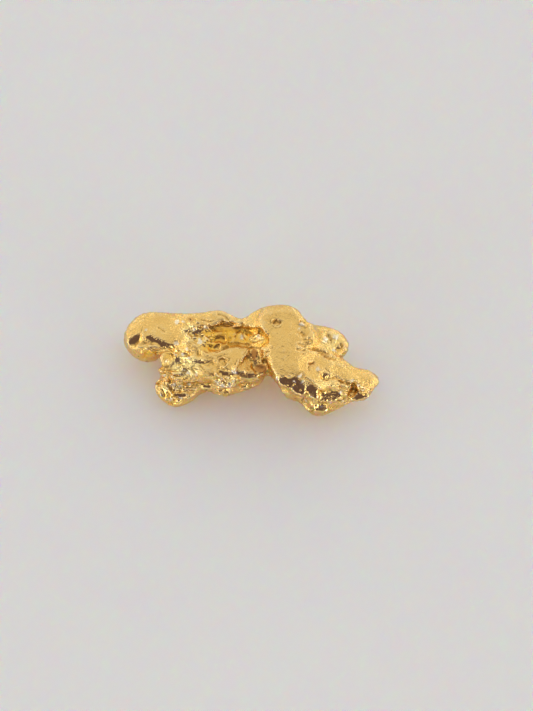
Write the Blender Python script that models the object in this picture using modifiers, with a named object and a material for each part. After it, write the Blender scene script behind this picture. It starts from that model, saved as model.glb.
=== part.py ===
"""A natural gold nugget, 13 mm long: one piece of native gold, lying on its feet.

Run it with: blender --background --python part.py

The nugget is grown as overlapping pebbles set along a run for each lobe, hollowed with cutters,
worked over with sculpting strokes, dents and a seeded unevenness, thinned to a light mesh and cut
flat at its feet. Working sizes are in millimetres, and the finished mesh is scaled to metres.

Places on the nugget are given on its show face, which looks up and forwards: "across" runs to the
right, "up" runs up the face, and "height" is the height above the ground it lies on.
"""

import math
from collections import namedtuple

import bmesh
import bpy
import numpy as np
from mathutils import Matrix, Vector, noise

NAME = "nugget"
METRES_PER_MM = 0.001

FACE_ELEVATION = math.radians(64.5)
FACE_HEIGHT = 2.0  # height of the middle of the show face above the ground
FACE_UP = Vector((0, math.sin(FACE_ELEVATION), math.cos(FACE_ELEVATION)))
FACE_OUT = Vector((0, -math.cos(FACE_ELEVATION), math.sin(FACE_ELEVATION)))

PEBBLE_SPACING = 0.3  # of a pebble's radius
SQUARENESS = 3.2  # 2 is a ball, and more is flatter on top with steeper sides
GROWTH_VOXEL = 0.10
SURFACE_VOXEL = 0.085
BROAD_LUMP = 0.10  # how high the broad unevenness is
BROAD_LUMPS_PER_MM = 0.9
SMALL_LUMP = 0.05
SMALL_LUMPS_PER_MM = 2.3
DENTS = 130
DENT_SEED = 5
DENT_HEIGHTS = (-0.18, 0.09)
DENT_RADII = (0.3, 0.8)
FACING_SHARPNESS = 3  # how soon a stroke takes hold on a surface that turns to the show face
FOOT_LEVEL = 0.12  # the feet are worn flat here
TRIANGLES = 9400

# A lobe holds how thick its pebbles are for their width, how far they lean forwards and to the
# right in degrees, and its run: across, up, height and radius of each pebble that shapes it.
Lobe = namedtuple("Lobe", "thickness forwards rightwards run")

LEFT_LOBES = {
    "left_arm": Lobe(0.80, 0, 0, [
        (-5.35, 0.90, 1.28, 1.24), (-4.05, 0.95, 1.45, 1.20), (-2.95, 1.00, 1.70, 1.05),
    ]),
    "arm_foot": Lobe(0.80, 0, 0, [
        (-4.80, 0.66, 0.80, 0.85), (-4.05, 0.72, 0.85, 0.92), (-3.40, 0.85, 1.10, 0.90),
    ]),
    "knuckle": Lobe(0.85, 4, -4, [(-3.90, -0.72, 1.45, 0.92), (-3.10, -0.70, 1.55, 1.00)]),
    "toe": Lobe(0.90, -2, 4, [
        (-4.10, -1.80, 0.78, 0.84), (-3.44, -1.65, 0.83, 0.83), (-2.77, -1.20, 1.05, 0.74),
    ]),
}
MIDDLE_LOBES = {
    "back_wall_left": Lobe(0.90, 0, 0, [
        (-2.98, 1.40, 2.10, 0.76), (-2.26, 1.62, 2.55, 0.54), (-1.55, 1.74, 2.75, 0.46),
    ]),
    "back_wall_right": Lobe(0.90, 0, 0, [
        (-1.55, 1.74, 2.75, 0.46), (-0.94, 1.52, 2.70, 0.44), (-0.33, 1.40, 2.75, 0.44),
    ]),
    "back_wall_end": Lobe(0.90, 0, 0, [(-0.33, 1.40, 2.75, 0.44), (0.45, 1.58, 2.75, 0.66)]),
    "back_wall_root": Lobe(1.00, 0, 0, [
        (-2.60, 0.95, 1.50, 0.95), (-1.30, 0.95, 1.60, 0.90), (0.20, 0.90, 1.80, 0.95),
    ]),
    "middle_left": Lobe(0.80, 6, 0, [
        (-2.72, 0.10, 1.80, 1.10), (-1.86, -0.33, 1.80, 1.22), (-0.84, -0.53, 1.75, 1.28),
    ]),
    "middle_right": Lobe(0.80, 6, 0, [
        (-0.84, -0.53, 1.75, 1.28), (0.03, -0.33, 1.75, 1.15), (0.84, 0.18, 1.90, 1.10),
    ]),
    "hem_left": Lobe(1.00, 0, 0, [(-2.10, -1.52, 1.05, 0.42), (-1.35, -1.68, 1.00, 0.46)]),
    "hem_right": Lobe(1.00, 0, 0, [
        (-1.35, -1.68, 1.00, 0.46), (-0.33, -1.50, 1.05, 0.50), (0.22, -1.05, 1.20, 0.52),
    ]),
}
RIGHT_LOBES = {
    "hump": Lobe(0.85, 8, 2, [(1.38, 0.93, 2.50, 1.48), (2.06, 0.68, 2.38, 1.40)]),
    "heel": Lobe(0.85, 0, 0, [
        (0.55, 0.60, 1.10, 0.85), (1.25, 0.75, 0.92, 0.98), (2.10, 0.72, 1.30, 1.05),
    ]),
    "apron": Lobe(0.80, 10, 10, [
        (1.72, -0.42, 2.55, 0.97), (2.34, -0.95, 2.38, 0.88), (3.20, -1.10, 2.10, 0.92),
    ]),
    "slab_root": Lobe(0.75, 8, 14, [(1.95, 0.30, 2.45, 1.35), (2.55, -0.10, 2.20, 1.25)]),
    "slab": Lobe(0.75, 8, 14, [
        (2.55, -0.10, 2.20, 1.25), (3.59, -0.75, 1.85, 1.12), (4.50, -1.25, 1.55, 0.92),
    ]),
    "tip": Lobe(0.80, 6, 12, [
        (4.60, -1.40, 1.45, 0.94), (5.42, -1.50, 1.30, 0.80), (5.90, -1.50, 1.25, 0.52),
    ]),
    "front_left": Lobe(0.70, 42, -14, [(2.22, -1.38, 2.30, 0.68), (2.80, -1.62, 2.00, 0.74)]),
    "front": Lobe(0.70, 42, -14, [
        (2.80, -1.62, 2.00, 0.74), (3.40, -1.85, 1.45, 0.86), (4.10, -1.85, 1.15, 0.86),
    ]),
    "sole_left": Lobe(1.00, 10, 0, [(2.40, -1.85, 1.00, 0.60), (3.00, -2.36, 0.66, 0.64)]),
    "sole": Lobe(1.00, 10, 0, [
        (3.00, -2.36, 0.66, 0.64), (3.59, -2.42, 0.66, 0.66), (4.50, -2.12, 0.80, 0.64),
    ]),
    "back_lobe": Lobe(0.85, 0, 10, [
        (2.88, 0.82, 2.05, 0.86), (3.59, 0.66, 1.85, 0.76), (4.30, 0.54, 1.70, 0.72),
    ]),
}
LOBES = {**LEFT_LOBES, **MIDDLE_LOBES, **RIGHT_LOBES}

# The deep hollows are cut with balls set along a run in the same way.
HOLLOWS = {
    "hollow_left": [(-2.35, 0.92, 2.95, 0.42), (-1.80, 0.92, 2.75, 0.62), (-1.20, 0.98, 2.65, 0.66)],
    "hollow_right": [(-1.20, 0.98, 2.65, 0.66), (-0.50, 0.95, 2.65, 0.60), (0.20, 0.84, 2.80, 0.50)],
    "hollow_end": [(0.10, 0.85, 2.80, 0.48), (0.32, 0.84, 3.30, 0.46), (0.60, 0.82, 3.60, 0.34)],
    "pocket": [(-0.15, -0.55, 2.90, 0.44), (0.15, -0.35, 2.80, 0.46)],
    "pocket_wall": [(0.22, 0.08, 2.95, 0.26), (0.46, -0.25, 2.80, 0.36), (0.50, -0.70, 2.55, 0.36)],
}

# Sculpting strokes on the show face: the path's (across, up) points, half its width, and how far
# its middle stands out. Below zero it is cut in.
Stroke = namedtuple("Stroke", "path half_width height")

STROKES = {
    "arm_ledge": Stroke([(-6.13, 0.48), (-5.64, 0.70), (-4.76, 0.65), (-4.05, 0.28)], 0.24, -0.13),
    "arm_pit": Stroke([(-4.59, 1.33)], 0.20, -0.10),
    "wall_pit": Stroke([(-3.07, 1.83)], 0.22, -0.15),
    "wall_crease": Stroke([(-3.33, 1.15), (-2.88, 1.25), (-2.47, 1.45)], 0.20, -0.12),
    "arm_root_crease": Stroke([(-4.66, -0.13), (-3.99, 0.23), (-3.28, 0.28), (-2.70, 0.10)], 0.24, -0.22),
    "toe_crease": Stroke([(-4.81, -1.30), (-4.05, -1.60), (-3.28, -1.60), (-2.77, -1.50)], 0.20, -0.18),
    "knuckle_dent": Stroke([(-3.35, -1.00)], 0.40, -0.15),
    "knuckle_crest": Stroke([(-4.35, -0.45), (-3.90, -0.60), (-3.75, -1.10)], 0.22, 0.10),
    "toe_dent": Stroke([(-3.61, -2.01)], 0.26, -0.12),
    "plateau_pit": Stroke([(-1.36, -0.31)], 0.28, -0.13),
    "plateau_crest": Stroke([(-0.28, 0.28), (-0.74, -0.33), (-0.89, -0.81)], 0.18, 0.12),
    "front_facet": Stroke([(-1.50, -0.85), (-1.10, -0.95)], 0.26, -0.14),
    "front_curl": Stroke([(-1.91, -1.30), (-1.40, -1.50), (-0.89, -1.55), (-0.69, -1.15)], 0.18, 0.13),
    "hem_groove": Stroke([(-0.60, -1.05), (0.00, -1.12), (0.40, -0.98)], 0.18, -0.13),
    "hump_pit": Stroke([(1.27, 1.69)], 0.34, -0.20),
    "hump_edge_crease": Stroke([(2.19, 1.40), (2.57, 1.15), (2.93, 0.84)], 0.20, -0.08),
    "slab_slit": Stroke(
        [(2.62, 0.59), (3.03, 0.43), (3.56, 0.31), (3.79, -0.03), (4.10, -0.08)], 0.18, -0.12
    ),
    "slab_pit": Stroke([(3.08, -0.43)], 0.24, -0.16),
    "front_ridge": Stroke([(2.47, -0.97), (3.10, -1.28), (3.51, -1.83)], 0.18, 0.13),
    "front_crease": Stroke([(3.74, -1.15), (4.24, -1.03), (4.83, -1.28)], 0.20, -0.14),
    "sole_groove": Stroke([(3.54, -1.98), (4.45, -2.05)], 0.24, -0.16),
    "tip_notch": Stroke([(5.11, -1.62), (5.15, -1.85)], 0.36, -0.26),
    "tip_notch_rim": Stroke([(5.01, -1.30), (5.24, -1.20), (5.52, -1.42), (5.50, -1.83)], 0.16, 0.08),
    "ring_bump": Stroke([(2.98, -2.47)], 0.42, 0.18),
    "ring_bump_pit": Stroke([(2.98, -2.47)], 0.20, -0.16),
    "sole_ledge": Stroke([(3.79, -2.95), (5.01, -2.42)], 0.18, 0.12),
}


def new_collection(name):
    collection = bpy.data.collections.new(name)
    bpy.context.scene.collection.children.link(collection)
    return collection


def face_place(across, up, height):
    """The point that lies at that place on the show face and at that height above the ground."""
    depth = (up - FACE_UP.z * (height - FACE_HEIGHT)) / FACE_UP.y
    return Vector((across, depth, height))


def pebbles_along(run):
    """Pebbles (centre, radius) set closely along a run of (across, up, height, radius)."""
    stations = [(face_place(*pebble[:3]), pebble[3]) for pebble in run]
    pebbles = [stations[0]]
    for (start, start_radius), (end, end_radius) in zip(stations, stations[1:]):
        spacing = PEBBLE_SPACING * min(start_radius, end_radius)
        count = max(1, math.ceil((end - start).length / spacing))
        for step in range(1, count + 1):
            share = step / count
            radius = start_radius + (end_radius - start_radius) * share
            pebbles.append((start.lerp(end, share), radius))
    return pebbles


def on_pebble(point, thickness, squareness):
    """Where a point of a ball lies on a pebble, which is round from above and flat on top."""
    width = math.hypot(point.x, point.y)
    reach = (width**squareness + abs(point.z) ** squareness) ** (-1 / squareness)
    return Vector((point.x * reach, point.y * reach, point.z * reach * thickness))


def pebble_object(name, lobes, squareness, collection):
    """One object that holds every pebble of the lobes."""
    shape = bmesh.new()
    for lobe in lobes:
        forwards = Matrix.Rotation(math.radians(lobe.forwards), 4, "X")
        rightwards = Matrix.Rotation(math.radians(lobe.rightwards), 4, "Y")
        for centre, radius in pebbles_along(lobe.run):
            place = Matrix.Translation(centre) @ forwards @ rightwards @ Matrix.Scale(radius, 4)
            ball = bmesh.ops.create_icosphere(shape, subdivisions=3, radius=1)
            for vertex in ball["verts"]:
                vertex.co = place @ on_pebble(vertex.co, lobe.thickness, squareness)
    mesh = bpy.data.meshes.new(name)
    shape.to_mesh(mesh)
    shape.free()
    obj = bpy.data.objects.new(name, mesh)
    collection.objects.link(obj)
    return obj


def settle(obj):
    """Applies the object's modifiers to its mesh."""
    evaluated = obj.evaluated_get(bpy.context.evaluated_depsgraph_get())
    mesh = bpy.data.meshes.new_from_object(evaluated)
    obj.modifiers.clear()
    old = obj.data
    obj.data = mesh
    bpy.data.meshes.remove(old)


def fuse(obj, voxel, smoothing):
    """Fuses the object's overlapping shapes into one skin, and softens it."""
    remesh = obj.modifiers.new("fuse", "REMESH")
    remesh.mode = "VOXEL"
    remesh.voxel_size = voxel
    soften = obj.modifiers.new("soften", "SMOOTH")
    soften.factor = 0.5
    soften.iterations = smoothing
    settle(obj)


def cut_hollow(body, name, run, collection):
    cutter = pebble_object(name, [Lobe(1.0, 0, 0, run)], 2, collection)
    cutter.hide_render = True
    cutter.display_type = "WIRE"
    fuse(cutter, GROWTH_VOXEL, 0)
    cut = body.modifiers.new(name, "BOOLEAN")
    cut.operation = "DIFFERENCE"
    cut.object = cutter
    settle(body)


def points_and_normals(mesh):
    points = np.empty(len(mesh.vertices) * 3)
    normals = np.empty(len(mesh.vertices) * 3, np.float32)
    mesh.vertices.foreach_get("co", points)
    mesh.vertex_normals.foreach_get("vector", normals)
    return points.reshape(-1, 3), normals.reshape(-1, 3).astype(float)


def push(mesh, heights):
    """Moves every vertex out along its normal by its own height."""
    points, normals = points_and_normals(mesh)
    mesh.vertices.foreach_set("co", (points + normals * heights[:, None]).ravel())
    mesh.update()


def dome(distance, radius):
    """A smooth bump's height, which is 1 in its middle and 0 from its radius on."""
    return np.clip(1 - (distance / radius) ** 2, 0, 1) ** 2


def distance_to_path(places, path):
    """How far each place is from a path of points. A path of one point is a dab."""
    nearest = np.full(len(places), np.inf)
    for start, end in zip(path, path[1:] or path):
        start = np.array(start)
        along = np.array(end) - start
        share = np.clip((places - start) @ along / max(along @ along, 1e-9), 0, 1)
        gap = places - start - share[:, None] * along
        nearest = np.minimum(nearest, np.linalg.norm(gap, axis=1))
    return nearest


def add_lumps(mesh):
    """The broad, soft unevenness of the whole surface."""
    points, _ = points_and_normals(mesh)
    heights = np.empty(len(points))
    for i, point in enumerate(points):
        place = Vector(point)
        broad = noise.fractal(place * BROAD_LUMPS_PER_MM + Vector((11, 3, 7)), 1.0, 2.0, 2)
        small = noise.noise(place * SMALL_LUMPS_PER_MM + Vector((5, 9, 2)))
        heights[i] = BROAD_LUMP * broad + SMALL_LUMP * small
    push(mesh, heights)


def add_dents(mesh):
    """Dents and a few knobs, scattered over the back, the sides and the underside."""
    chance = np.random.default_rng(DENT_SEED)
    points, normals = points_and_normals(mesh)
    hidden = points[normals @ np.array(FACE_OUT) < 0]
    heights = np.zeros(len(points))
    for middle in hidden[chance.integers(len(hidden), size=DENTS)]:
        distance = np.linalg.norm(points - middle, axis=1)
        heights += chance.uniform(*DENT_HEIGHTS) * dome(distance, chance.uniform(*DENT_RADII))
    push(mesh, heights)


def sculpt_strokes(mesh):
    for stroke in STROKES.values():
        points, normals = points_and_normals(mesh)
        up = points @ np.array(FACE_UP) - FACE_UP.z * FACE_HEIGHT
        places = np.column_stack([points[:, 0], up])
        facing = np.clip(normals @ np.array(FACE_OUT) * FACING_SHARPNESS, 0, 1)
        shape = dome(distance_to_path(places, stroke.path), stroke.half_width)
        push(mesh, stroke.height * facing * shape)


def thin_out(obj):
    obj.data.calc_loop_triangles()
    thin = obj.modifiers.new("thin", "DECIMATE")
    thin.ratio = TRIANGLES / len(obj.data.loop_triangles)
    thin.use_collapse_triangulate = True
    settle(obj)


def wear_feet(mesh):
    """Cuts the lowest skin off flat, which gives the nugget the feet that it lies on."""
    shape = bmesh.new()
    shape.from_mesh(mesh)
    everything = shape.verts[:] + shape.edges[:] + shape.faces[:]
    bmesh.ops.bisect_plane(
        shape, geom=everything, plane_co=(0, 0, FOOT_LEVEL), plane_no=(0, 0, -1), clear_outer=True
    )
    rims = [edge for edge in shape.edges if edge.is_boundary]
    bmesh.ops.edgenet_fill(shape, edges=rims)
    bmesh.ops.recalc_face_normals(shape, faces=shape.faces)
    bmesh.ops.triangulate(shape, faces=shape.faces)
    shape.to_mesh(mesh)
    shape.free()


def set_in_frame(mesh, others):
    """Puts the origin under the middle of the nugget at ground level, and scales to metres."""
    points, _ = points_and_normals(mesh)
    low, high = points.min(axis=0), points.max(axis=0)
    origin = Vector(((low[0] + high[0]) / 2, (low[1] + high[1]) / 2, low[2]))
    for shape in [mesh] + others:
        shape.transform(Matrix.Scale(METRES_PER_MM, 4) @ Matrix.Translation(-origin))


def gold():
    material = bpy.data.materials.new("native_gold")
    material.use_nodes = True
    shader = material.node_tree.nodes["Principled BSDF"]
    shader.inputs["Base Color"].default_value = (0.90, 0.60, 0.20, 1)
    shader.inputs["Metallic"].default_value = 1.0
    shader.inputs["Roughness"].default_value = 0.25
    return material


def main():
    for obj in list(bpy.data.objects):
        bpy.data.objects.remove(obj)
    parts = new_collection("gold_nugget")
    cutters = new_collection("cutters")

    nugget = pebble_object(NAME, LOBES.values(), SQUARENESS, parts)
    fuse(nugget, GROWTH_VOXEL, 4)
    for name, run in HOLLOWS.items():
        cut_hollow(nugget, name, run, cutters)
    fuse(nugget, SURFACE_VOXEL, 2)

    add_lumps(nugget.data)
    add_dents(nugget.data)
    sculpt_strokes(nugget.data)
    thin_out(nugget)
    wear_feet(nugget.data)
    set_in_frame(nugget.data, [cutter.data for cutter in cutters.objects])
    nugget.data.shade_smooth()
    nugget.data.materials.append(gold())


main()
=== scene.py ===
"""A natural gold nugget, finished and lit: waterworn native gold on a plain pale floor.

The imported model's solid gives the nugget its form. Its skin is meshed evenly, fitted to the outline,
laid level on the worn tops, sunk in the beds and cut to facets. Then it is meshed again, worked over
with strokes that are named for the part of the nugget they are on, crumpled and pitted all round, and
given a gold that changes with the shape.

Working sizes are in millimetres. Places on the nugget are given on its show face, which looks up and
forwards: "across" runs to the right and "up" runs up the face.
"""

import math
from collections import namedtuple
from contextlib import contextmanager

import bpy
import bmesh
import numpy as np
from mathutils import Matrix, Vector, noise
from mathutils.bvhtree import BVHTree


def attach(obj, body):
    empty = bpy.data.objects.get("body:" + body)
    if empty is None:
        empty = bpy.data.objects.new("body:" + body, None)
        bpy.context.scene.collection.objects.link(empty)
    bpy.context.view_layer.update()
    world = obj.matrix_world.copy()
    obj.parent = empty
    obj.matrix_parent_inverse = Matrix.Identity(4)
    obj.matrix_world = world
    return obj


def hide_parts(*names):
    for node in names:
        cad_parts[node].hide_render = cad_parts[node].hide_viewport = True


MM_PER_METRE = 1000.0
METRES_PER_MM = 1 / MM_PER_METRE

NODE = "nugget"
BODY = "root"

FACE_ELEVATION = math.radians(64.5)
FACE_MIDDLE = np.array((0.763, 0.0, 2.0))
VIEW_DISTANCE = 80.1  # the show face is seen from here, and places on it are read from there
FACE_UP = np.array((0, math.sin(FACE_ELEVATION), math.cos(FACE_ELEVATION)))
FACE_OUT = np.array((0, -math.cos(FACE_ELEVATION), math.sin(FACE_ELEVATION)))
FACING_RANGE = (0.10, 0.55)  # a form takes hold as the surface turns to the show face
GROWTH_PLACE = Vector((-0.0695, -0.0827, 0.12))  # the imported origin, in the frame of the strokes

WELD_METRES = 1e-7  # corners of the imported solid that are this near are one
FORM_VOXEL = 0.060  # for the broad forms
FORM_SOFTENING = 6
SKIN_VOXEL = 0.062  # for the strokes, and half of it where the show face is rough or worked
SKIN_SOFTENING = 2
SOFTENING_FACTOR = 0.5
ROUGH_ENOUGH = 0.35  # the roughness from which the skin is meshed twice as finely
STROKE_FELT = 0.004  # and the height of a stroke from which it is


# ---------------------------------------------------------------------------------------------
# Broad forms of the show face
# ---------------------------------------------------------------------------------------------

# The nugget's outline as the show face is seen, clockwise from its left end.
OUTLINE = [
    (-6.51, 0.79), (-6.46, 1.15), (-6.26, 1.54), (-5.91, 1.94), (-5.56, 2.15), (-5.05, 2.22), (-4.15, 2.17),
    (-3.13, 2.14), (-2.37, 2.21), (-1.90, 2.30), (-1.55, 2.30), (-1.20, 2.16), (-0.74, 1.90), (-0.38, 1.90),
    (0.08, 2.21), (0.50, 2.42), (0.84, 2.52), (1.35, 2.60), (1.81, 2.57), (2.15, 2.47), (2.42, 2.27),
    (2.62, 1.98), (2.87, 1.70), (3.23, 1.56), (3.75, 1.48), (4.20, 1.37), (4.50, 1.22), (4.75, 0.97),
    (4.93, 0.70), (4.97, 0.42), (4.86, 0.12), (4.60, -0.12), (4.80, -0.25), (5.11, -0.52), (5.45, -0.66),
    (5.85, -0.70), (6.26, -0.92), (6.47, -1.15), (6.50, -1.40), (6.18, -1.81), (5.95, -2.12), (5.72, -2.30),
    (5.30, -2.33), (5.01, -2.40), (4.69, -2.57), (4.22, -2.81), (3.91, -2.97), (3.59, -3.08), (3.28, -3.10),
    (2.97, -2.93), (2.72, -2.68), (2.50, -2.42), (2.20, -2.30), (1.85, -2.20), (1.62, -1.95), (1.45, -1.65),
    (1.15, -1.25), (0.79, -0.98), (0.62, -1.20), (0.48, -1.45), (0.00, -1.68), (-0.59, -1.88),
    (-1.10, -2.05), (-1.49, -2.08), (-1.84, -1.95), (-2.25, -1.81), (-2.64, -2.00), (-2.99, -2.31),
    (-3.44, -2.53), (-3.83, -2.65), (-4.14, -2.57), (-4.54, -2.31), (-4.81, -2.00), (-4.94, -1.69),
    (-4.89, -1.38), (-4.63, -1.16), (-4.67, -0.94), (-4.77, -0.72), (-4.71, -0.59), (-4.40, -0.43),
    (-4.30, -0.24), (-4.42, -0.14), (-4.67, -0.23), (-5.02, -0.29), (-5.29, -0.37), (-5.60, -0.27),
    (-5.91, -0.14), (-6.26, 0.18), (-6.46, 0.48),
]
OUTLINE_STEP = 0.10
OUTLINE_FITS = 2
OUTLINE_SEARCH = 0.60  # how far off the outline the skin's own edge is looked for
SEARCH_STEP = 0.03
OUTLINE_REACH = 0.80  # how far in from the outline the skin moves with it
OUTLINE_BLEND = 0.12  # how softly the skin passes from one stretch of the outline to the next
FITTED_BATCHES = 40  # the skin is fitted in this many parts, which saves memory

# Worn tops, which are levelled to a gently curved sheet: the middle (across, up), the half widths
# across and up, how much of their unevenness goes, and how much of the way they are turned to lie
# level with the ground.
Top = namedtuple("Top", "middle half_widths share turn")

TOPS = {
    "arm_end": Top((-5.35, 1.35), (1.10, 0.75), 0.8, 0.3),
    "arm": Top((-4.10, 1.35), (1.20, 0.75), 0.8, 0.3),
    "hump_back": Top((1.50, 1.70), (1.40, 0.85), 0.8, 0.3),
    "apron": Top((1.90, -0.50), (1.20, 0.95), 0.8, 0.3),
    "hump": Top((1.75, 0.35), (1.55, 2.20), 0.9, 0.55),
    "slab": Top((3.20, -0.55), (1.15, 0.85), 0.9, 0.5),
    "slab_end": Top((4.20, -1.05), (1.10, 0.75), 0.8, 0.5),
    "tip": Top((5.50, -1.25), (0.80, 0.45), 0.7, 0.3),
    "plateau": Top((-0.85, 0.00), (1.10, 0.70), 0.9, 0.4),
    "middle": Top((-2.20, -0.75), (0.75, 0.60), 0.8, 0.6),
    "knuckle": Top((-3.50, -0.80), (0.85, 0.80), 0.6, 0.9),
    "pocket_ramp": Top((-0.32, -0.40), (0.32, 0.50), 0.9, 0.4),
    "back_lobe": Top((3.40, 0.80), (0.80, 0.60), 0.6, 0.3),
}
LEVEL_SLOPE = -1 / math.tan(FACE_ELEVATION)  # of level ground, as the show face leans
TOP_FELT = 0.02  # the least weight with which skin belongs to a top
TOP_FITS = 3
TOP_UNEVENNESS = 0.25  # skin that is further off the fitted sheet than this is left out of the next fit
TOP_GRIP = 3  # a top moves its skin fully from a third of its full weight on

# Beds, which lie sunk between a top edge and a bottom edge of (across, up) points: how deep they start
# at their bottom edge, how they fall towards their top edge, and how wide their walls are.
Bed = namedtuple("Bed", "depth fall wall top bottom")

BEDS = {
    "hollow": Bed(
        0.06,
        0.40,
        0.20,
        [(-2.72, 0.95), (-2.40, 1.32), (-1.90, 1.52), (-1.45, 1.62), (-0.60, 1.55), (-0.05, 1.40),
         (0.55, 1.18), (0.88, 0.90)],
        [(-2.72, 0.45), (-2.30, 0.12), (-1.95, 0.14), (-1.55, 0.32), (-0.60, 0.52), (0.10, 0.42),
         (0.55, 0.46), (0.88, 0.66)],
    ),
    "pocket": Bed(
        0.04,
        0.42,
        0.14,
        [(-0.66, -0.40), (-0.45, -0.12), (-0.12, 0.12), (0.20, 0.06)],
        [(-0.66, -0.78), (-0.30, -0.84), (0.00, -0.86), (0.20, -0.80)],
    ),
    "arm_root": Bed(
        0.02,
        0.30,
        0.16,
        [(-4.42, 0.42), (-3.90, 0.58), (-3.40, 0.60), (-2.80, 0.45)],
        [(-4.42, -0.02), (-3.90, -0.04), (-3.40, 0.00), (-2.80, 0.00)],
    ),
}
BED_REACH = 1.5  # a bed takes skin that is this far from it along
BESIDE_BED = 0.06  # how far outside its edges a bed reads the skin that it starts from
EDGE_STEPS = 24  # the skin along an edge is read at this many places
EVENED_STEPS = 3  # and each reading is evened out with this many on either side

# Lumps that fill a crevice of the show face: the middle, the radius, and how far each stands proud of
# the lower of the crevice's sides.
Lump = namedtuple("Lump", "middle radius proud")

LUMPS = {
    "arm_armpit": Lump((-4.52, 0.12), 0.30, 0.02),
    "arm_armpit_root": Lump((-4.22, 0.16), 0.32, 0.02),
}

# Facets, between a top edge and a bottom edge of (across, up) points. Each is a plane that starts at
# the old surface along its top edge and falls by its slope below it, or rises if that is negative.
Facet = namedtuple("Facet", "slope top bottom")

FACETS = {
    "arm_band_end": Facet(
        0.22, [(-6.21, 0.84), (-5.65, 1.12)], [(-6.21, 0.62), (-5.92, 0.48), (-5.65, 0.80)]
    ),
    "arm_band": Facet(
        0.22,
        [(-5.34, 1.09), (-5.11, 1.02), (-4.86, 0.87), (-4.55, 0.76), (-4.10, 0.64), (-3.79, 0.33)],
        [(-5.34, 0.86), (-5.06, 0.62), (-4.76, 0.52), (-4.50, 0.36), (-4.10, 0.20), (-3.79, 0.10)],
    ),
    "knuckle_brow": Facet(
        0.22,
        [(-4.12, -0.16), (-3.99, -0.12), (-3.69, -0.10), (-3.58, -0.20)],
        [(-4.12, -0.30), (-3.94, -0.46), (-3.74, -0.50), (-3.58, -0.36)],
    ),
    "knuckle_side": Facet(
        0.20,
        [(-4.38, -0.34), (-4.05, -0.50), (-3.74, -0.56)],
        [(-4.38, -0.60), (-4.05, -0.78), (-3.74, -0.74)],
    ),
    "toe_front": Facet(
        0.22, [(-3.85, -1.80), (-3.36, -1.88)], [(-3.85, -2.08), (-3.60, -2.24), (-3.36, -2.10)]
    ),
    "middle_front": Facet(
        0.22,
        [(-1.66, -0.69), (-1.50, -0.74), (-0.96, -0.80)],
        [(-1.66, -0.86), (-1.42, -1.06), (-0.96, -1.00)],
    ),
    "pocket_front": Facet(
        0.30,
        [(-0.76, -0.84), (-0.38, -0.87), (0.03, -0.88), (0.36, -0.94)],
        [(-0.76, -1.12), (-0.20, -1.24), (0.36, -1.16)],
    ),
    "front": Facet(
        0.22,
        [(1.38, -1.22), (1.65, -1.10), (2.01, -1.14), (2.36, -1.09), (2.55, -1.35), (2.72, -1.62)],
        [(1.38, -1.40), (1.60, -1.54), (2.01, -1.74), (2.27, -2.00), (2.50, -2.05), (2.72, -1.90)],
    ),
    "hollow_side": Facet(0.00, [(-1.80, 1.08), (-1.36, 1.04)], [(-1.80, 0.72), (-1.36, 0.62)]),
    "hollow_floor": Facet(0.04, [(-2.16, 0.62), (-1.60, 0.68)], [(-2.10, 0.30), (-1.60, 0.24)]),
    "front_cleft": Facet(
        0.26, [(2.78, -1.56), (3.05, -1.54), (3.38, -1.66)], [(2.78, -1.84), (3.02, -2.10), (3.38, -2.20)]
    ),
    "front_band": Facet(
        0.18,
        [(3.46, -1.84), (3.89, -1.92), (4.15, -1.80), (4.50, -1.88)],
        [(3.46, -2.28), (3.89, -2.36), (4.15, -2.30), (4.50, -2.22)],
    ),
    "sole_front": Facet(
        0.16, [(3.20, -2.46), (3.50, -2.42), (3.86, -2.52)], [(3.20, -2.86), (3.50, -2.96), (3.86, -2.76)]
    ),
    "arm_root_front": Facet(
        0.25,
        [(-3.18, 1.18), (-2.98, 1.30), (-2.72, 1.28), (-2.48, 1.42)],
        [(-3.18, 1.02), (-2.98, 0.98), (-2.72, 1.04), (-2.48, 1.22)],
    ),
    "knuckle_back": Facet(
        0.28, [(-4.02, 0.30), (-3.60, 0.25), (-3.16, 0.14)], [(-4.02, 0.14), (-3.60, 0.06), (-3.16, -0.02)]
    ),
    "toe_side": Facet(
        0.25, [(-4.56, -1.60), (-4.28, -1.74)], [(-4.56, -1.90), (-4.42, -2.12), (-4.28, -2.14)]
    ),
    "toe_root": Facet(
        0.25, [(-2.58, -1.46), (-2.10, -1.50)], [(-2.58, -1.64), (-2.34, -1.74), (-2.10, -1.70)]
    ),
    "knuckle_gap": Facet(
        0.25,
        [(-2.98, -0.22), (-2.60, -0.28), (-2.20, -0.38)],
        [(-2.98, -0.36), (-2.60, -0.46), (-2.20, -0.50)],
    ),
    "slab_cluster": Facet(0.22, [(3.56, -0.88), (3.90, -0.90)], [(3.56, -1.16), (3.90, -1.20)]),
    "pocket_back": Facet(-0.06, [(-0.08, 0.28), (0.34, 0.28)], [(-0.08, -0.14), (0.34, -0.14)]),
    "pocket_side": Facet(
        -0.04,
        [(0.04, -0.18), (0.30, -0.30), (0.46, -0.46), (0.86, -0.52)],
        [(0.04, -0.62), (0.28, -0.88), (0.60, -0.98), (0.86, -0.62)],
    ),
    "tip_under": Facet(
        0.25,
        [(5.08, -2.14), (5.32, -2.02), (5.50, -1.92), (5.92, -2.05)],
        [(5.08, -2.26), (5.40, -2.28), (5.92, -2.17)],
    ),
}
FACET_LEAN = 0.30  # the most that a facet rises from one end to the other, against its length
FACET_SPREAD = 0.03  # how far a facet reaches past its edges
FACET_EDGE = 0.07  # the width over which a facet or a bed takes over from the old surface
RAGGED_EDGE = 0.09  # how far a facet's edges stray
RAGGED_PER_MM = 4.5
STROKES_CALMED = 0.6  # how much lower a stroke is where it crosses a facet
FACET_CALM = 0.85  # how much less a facet is crumpled than its surroundings
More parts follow.
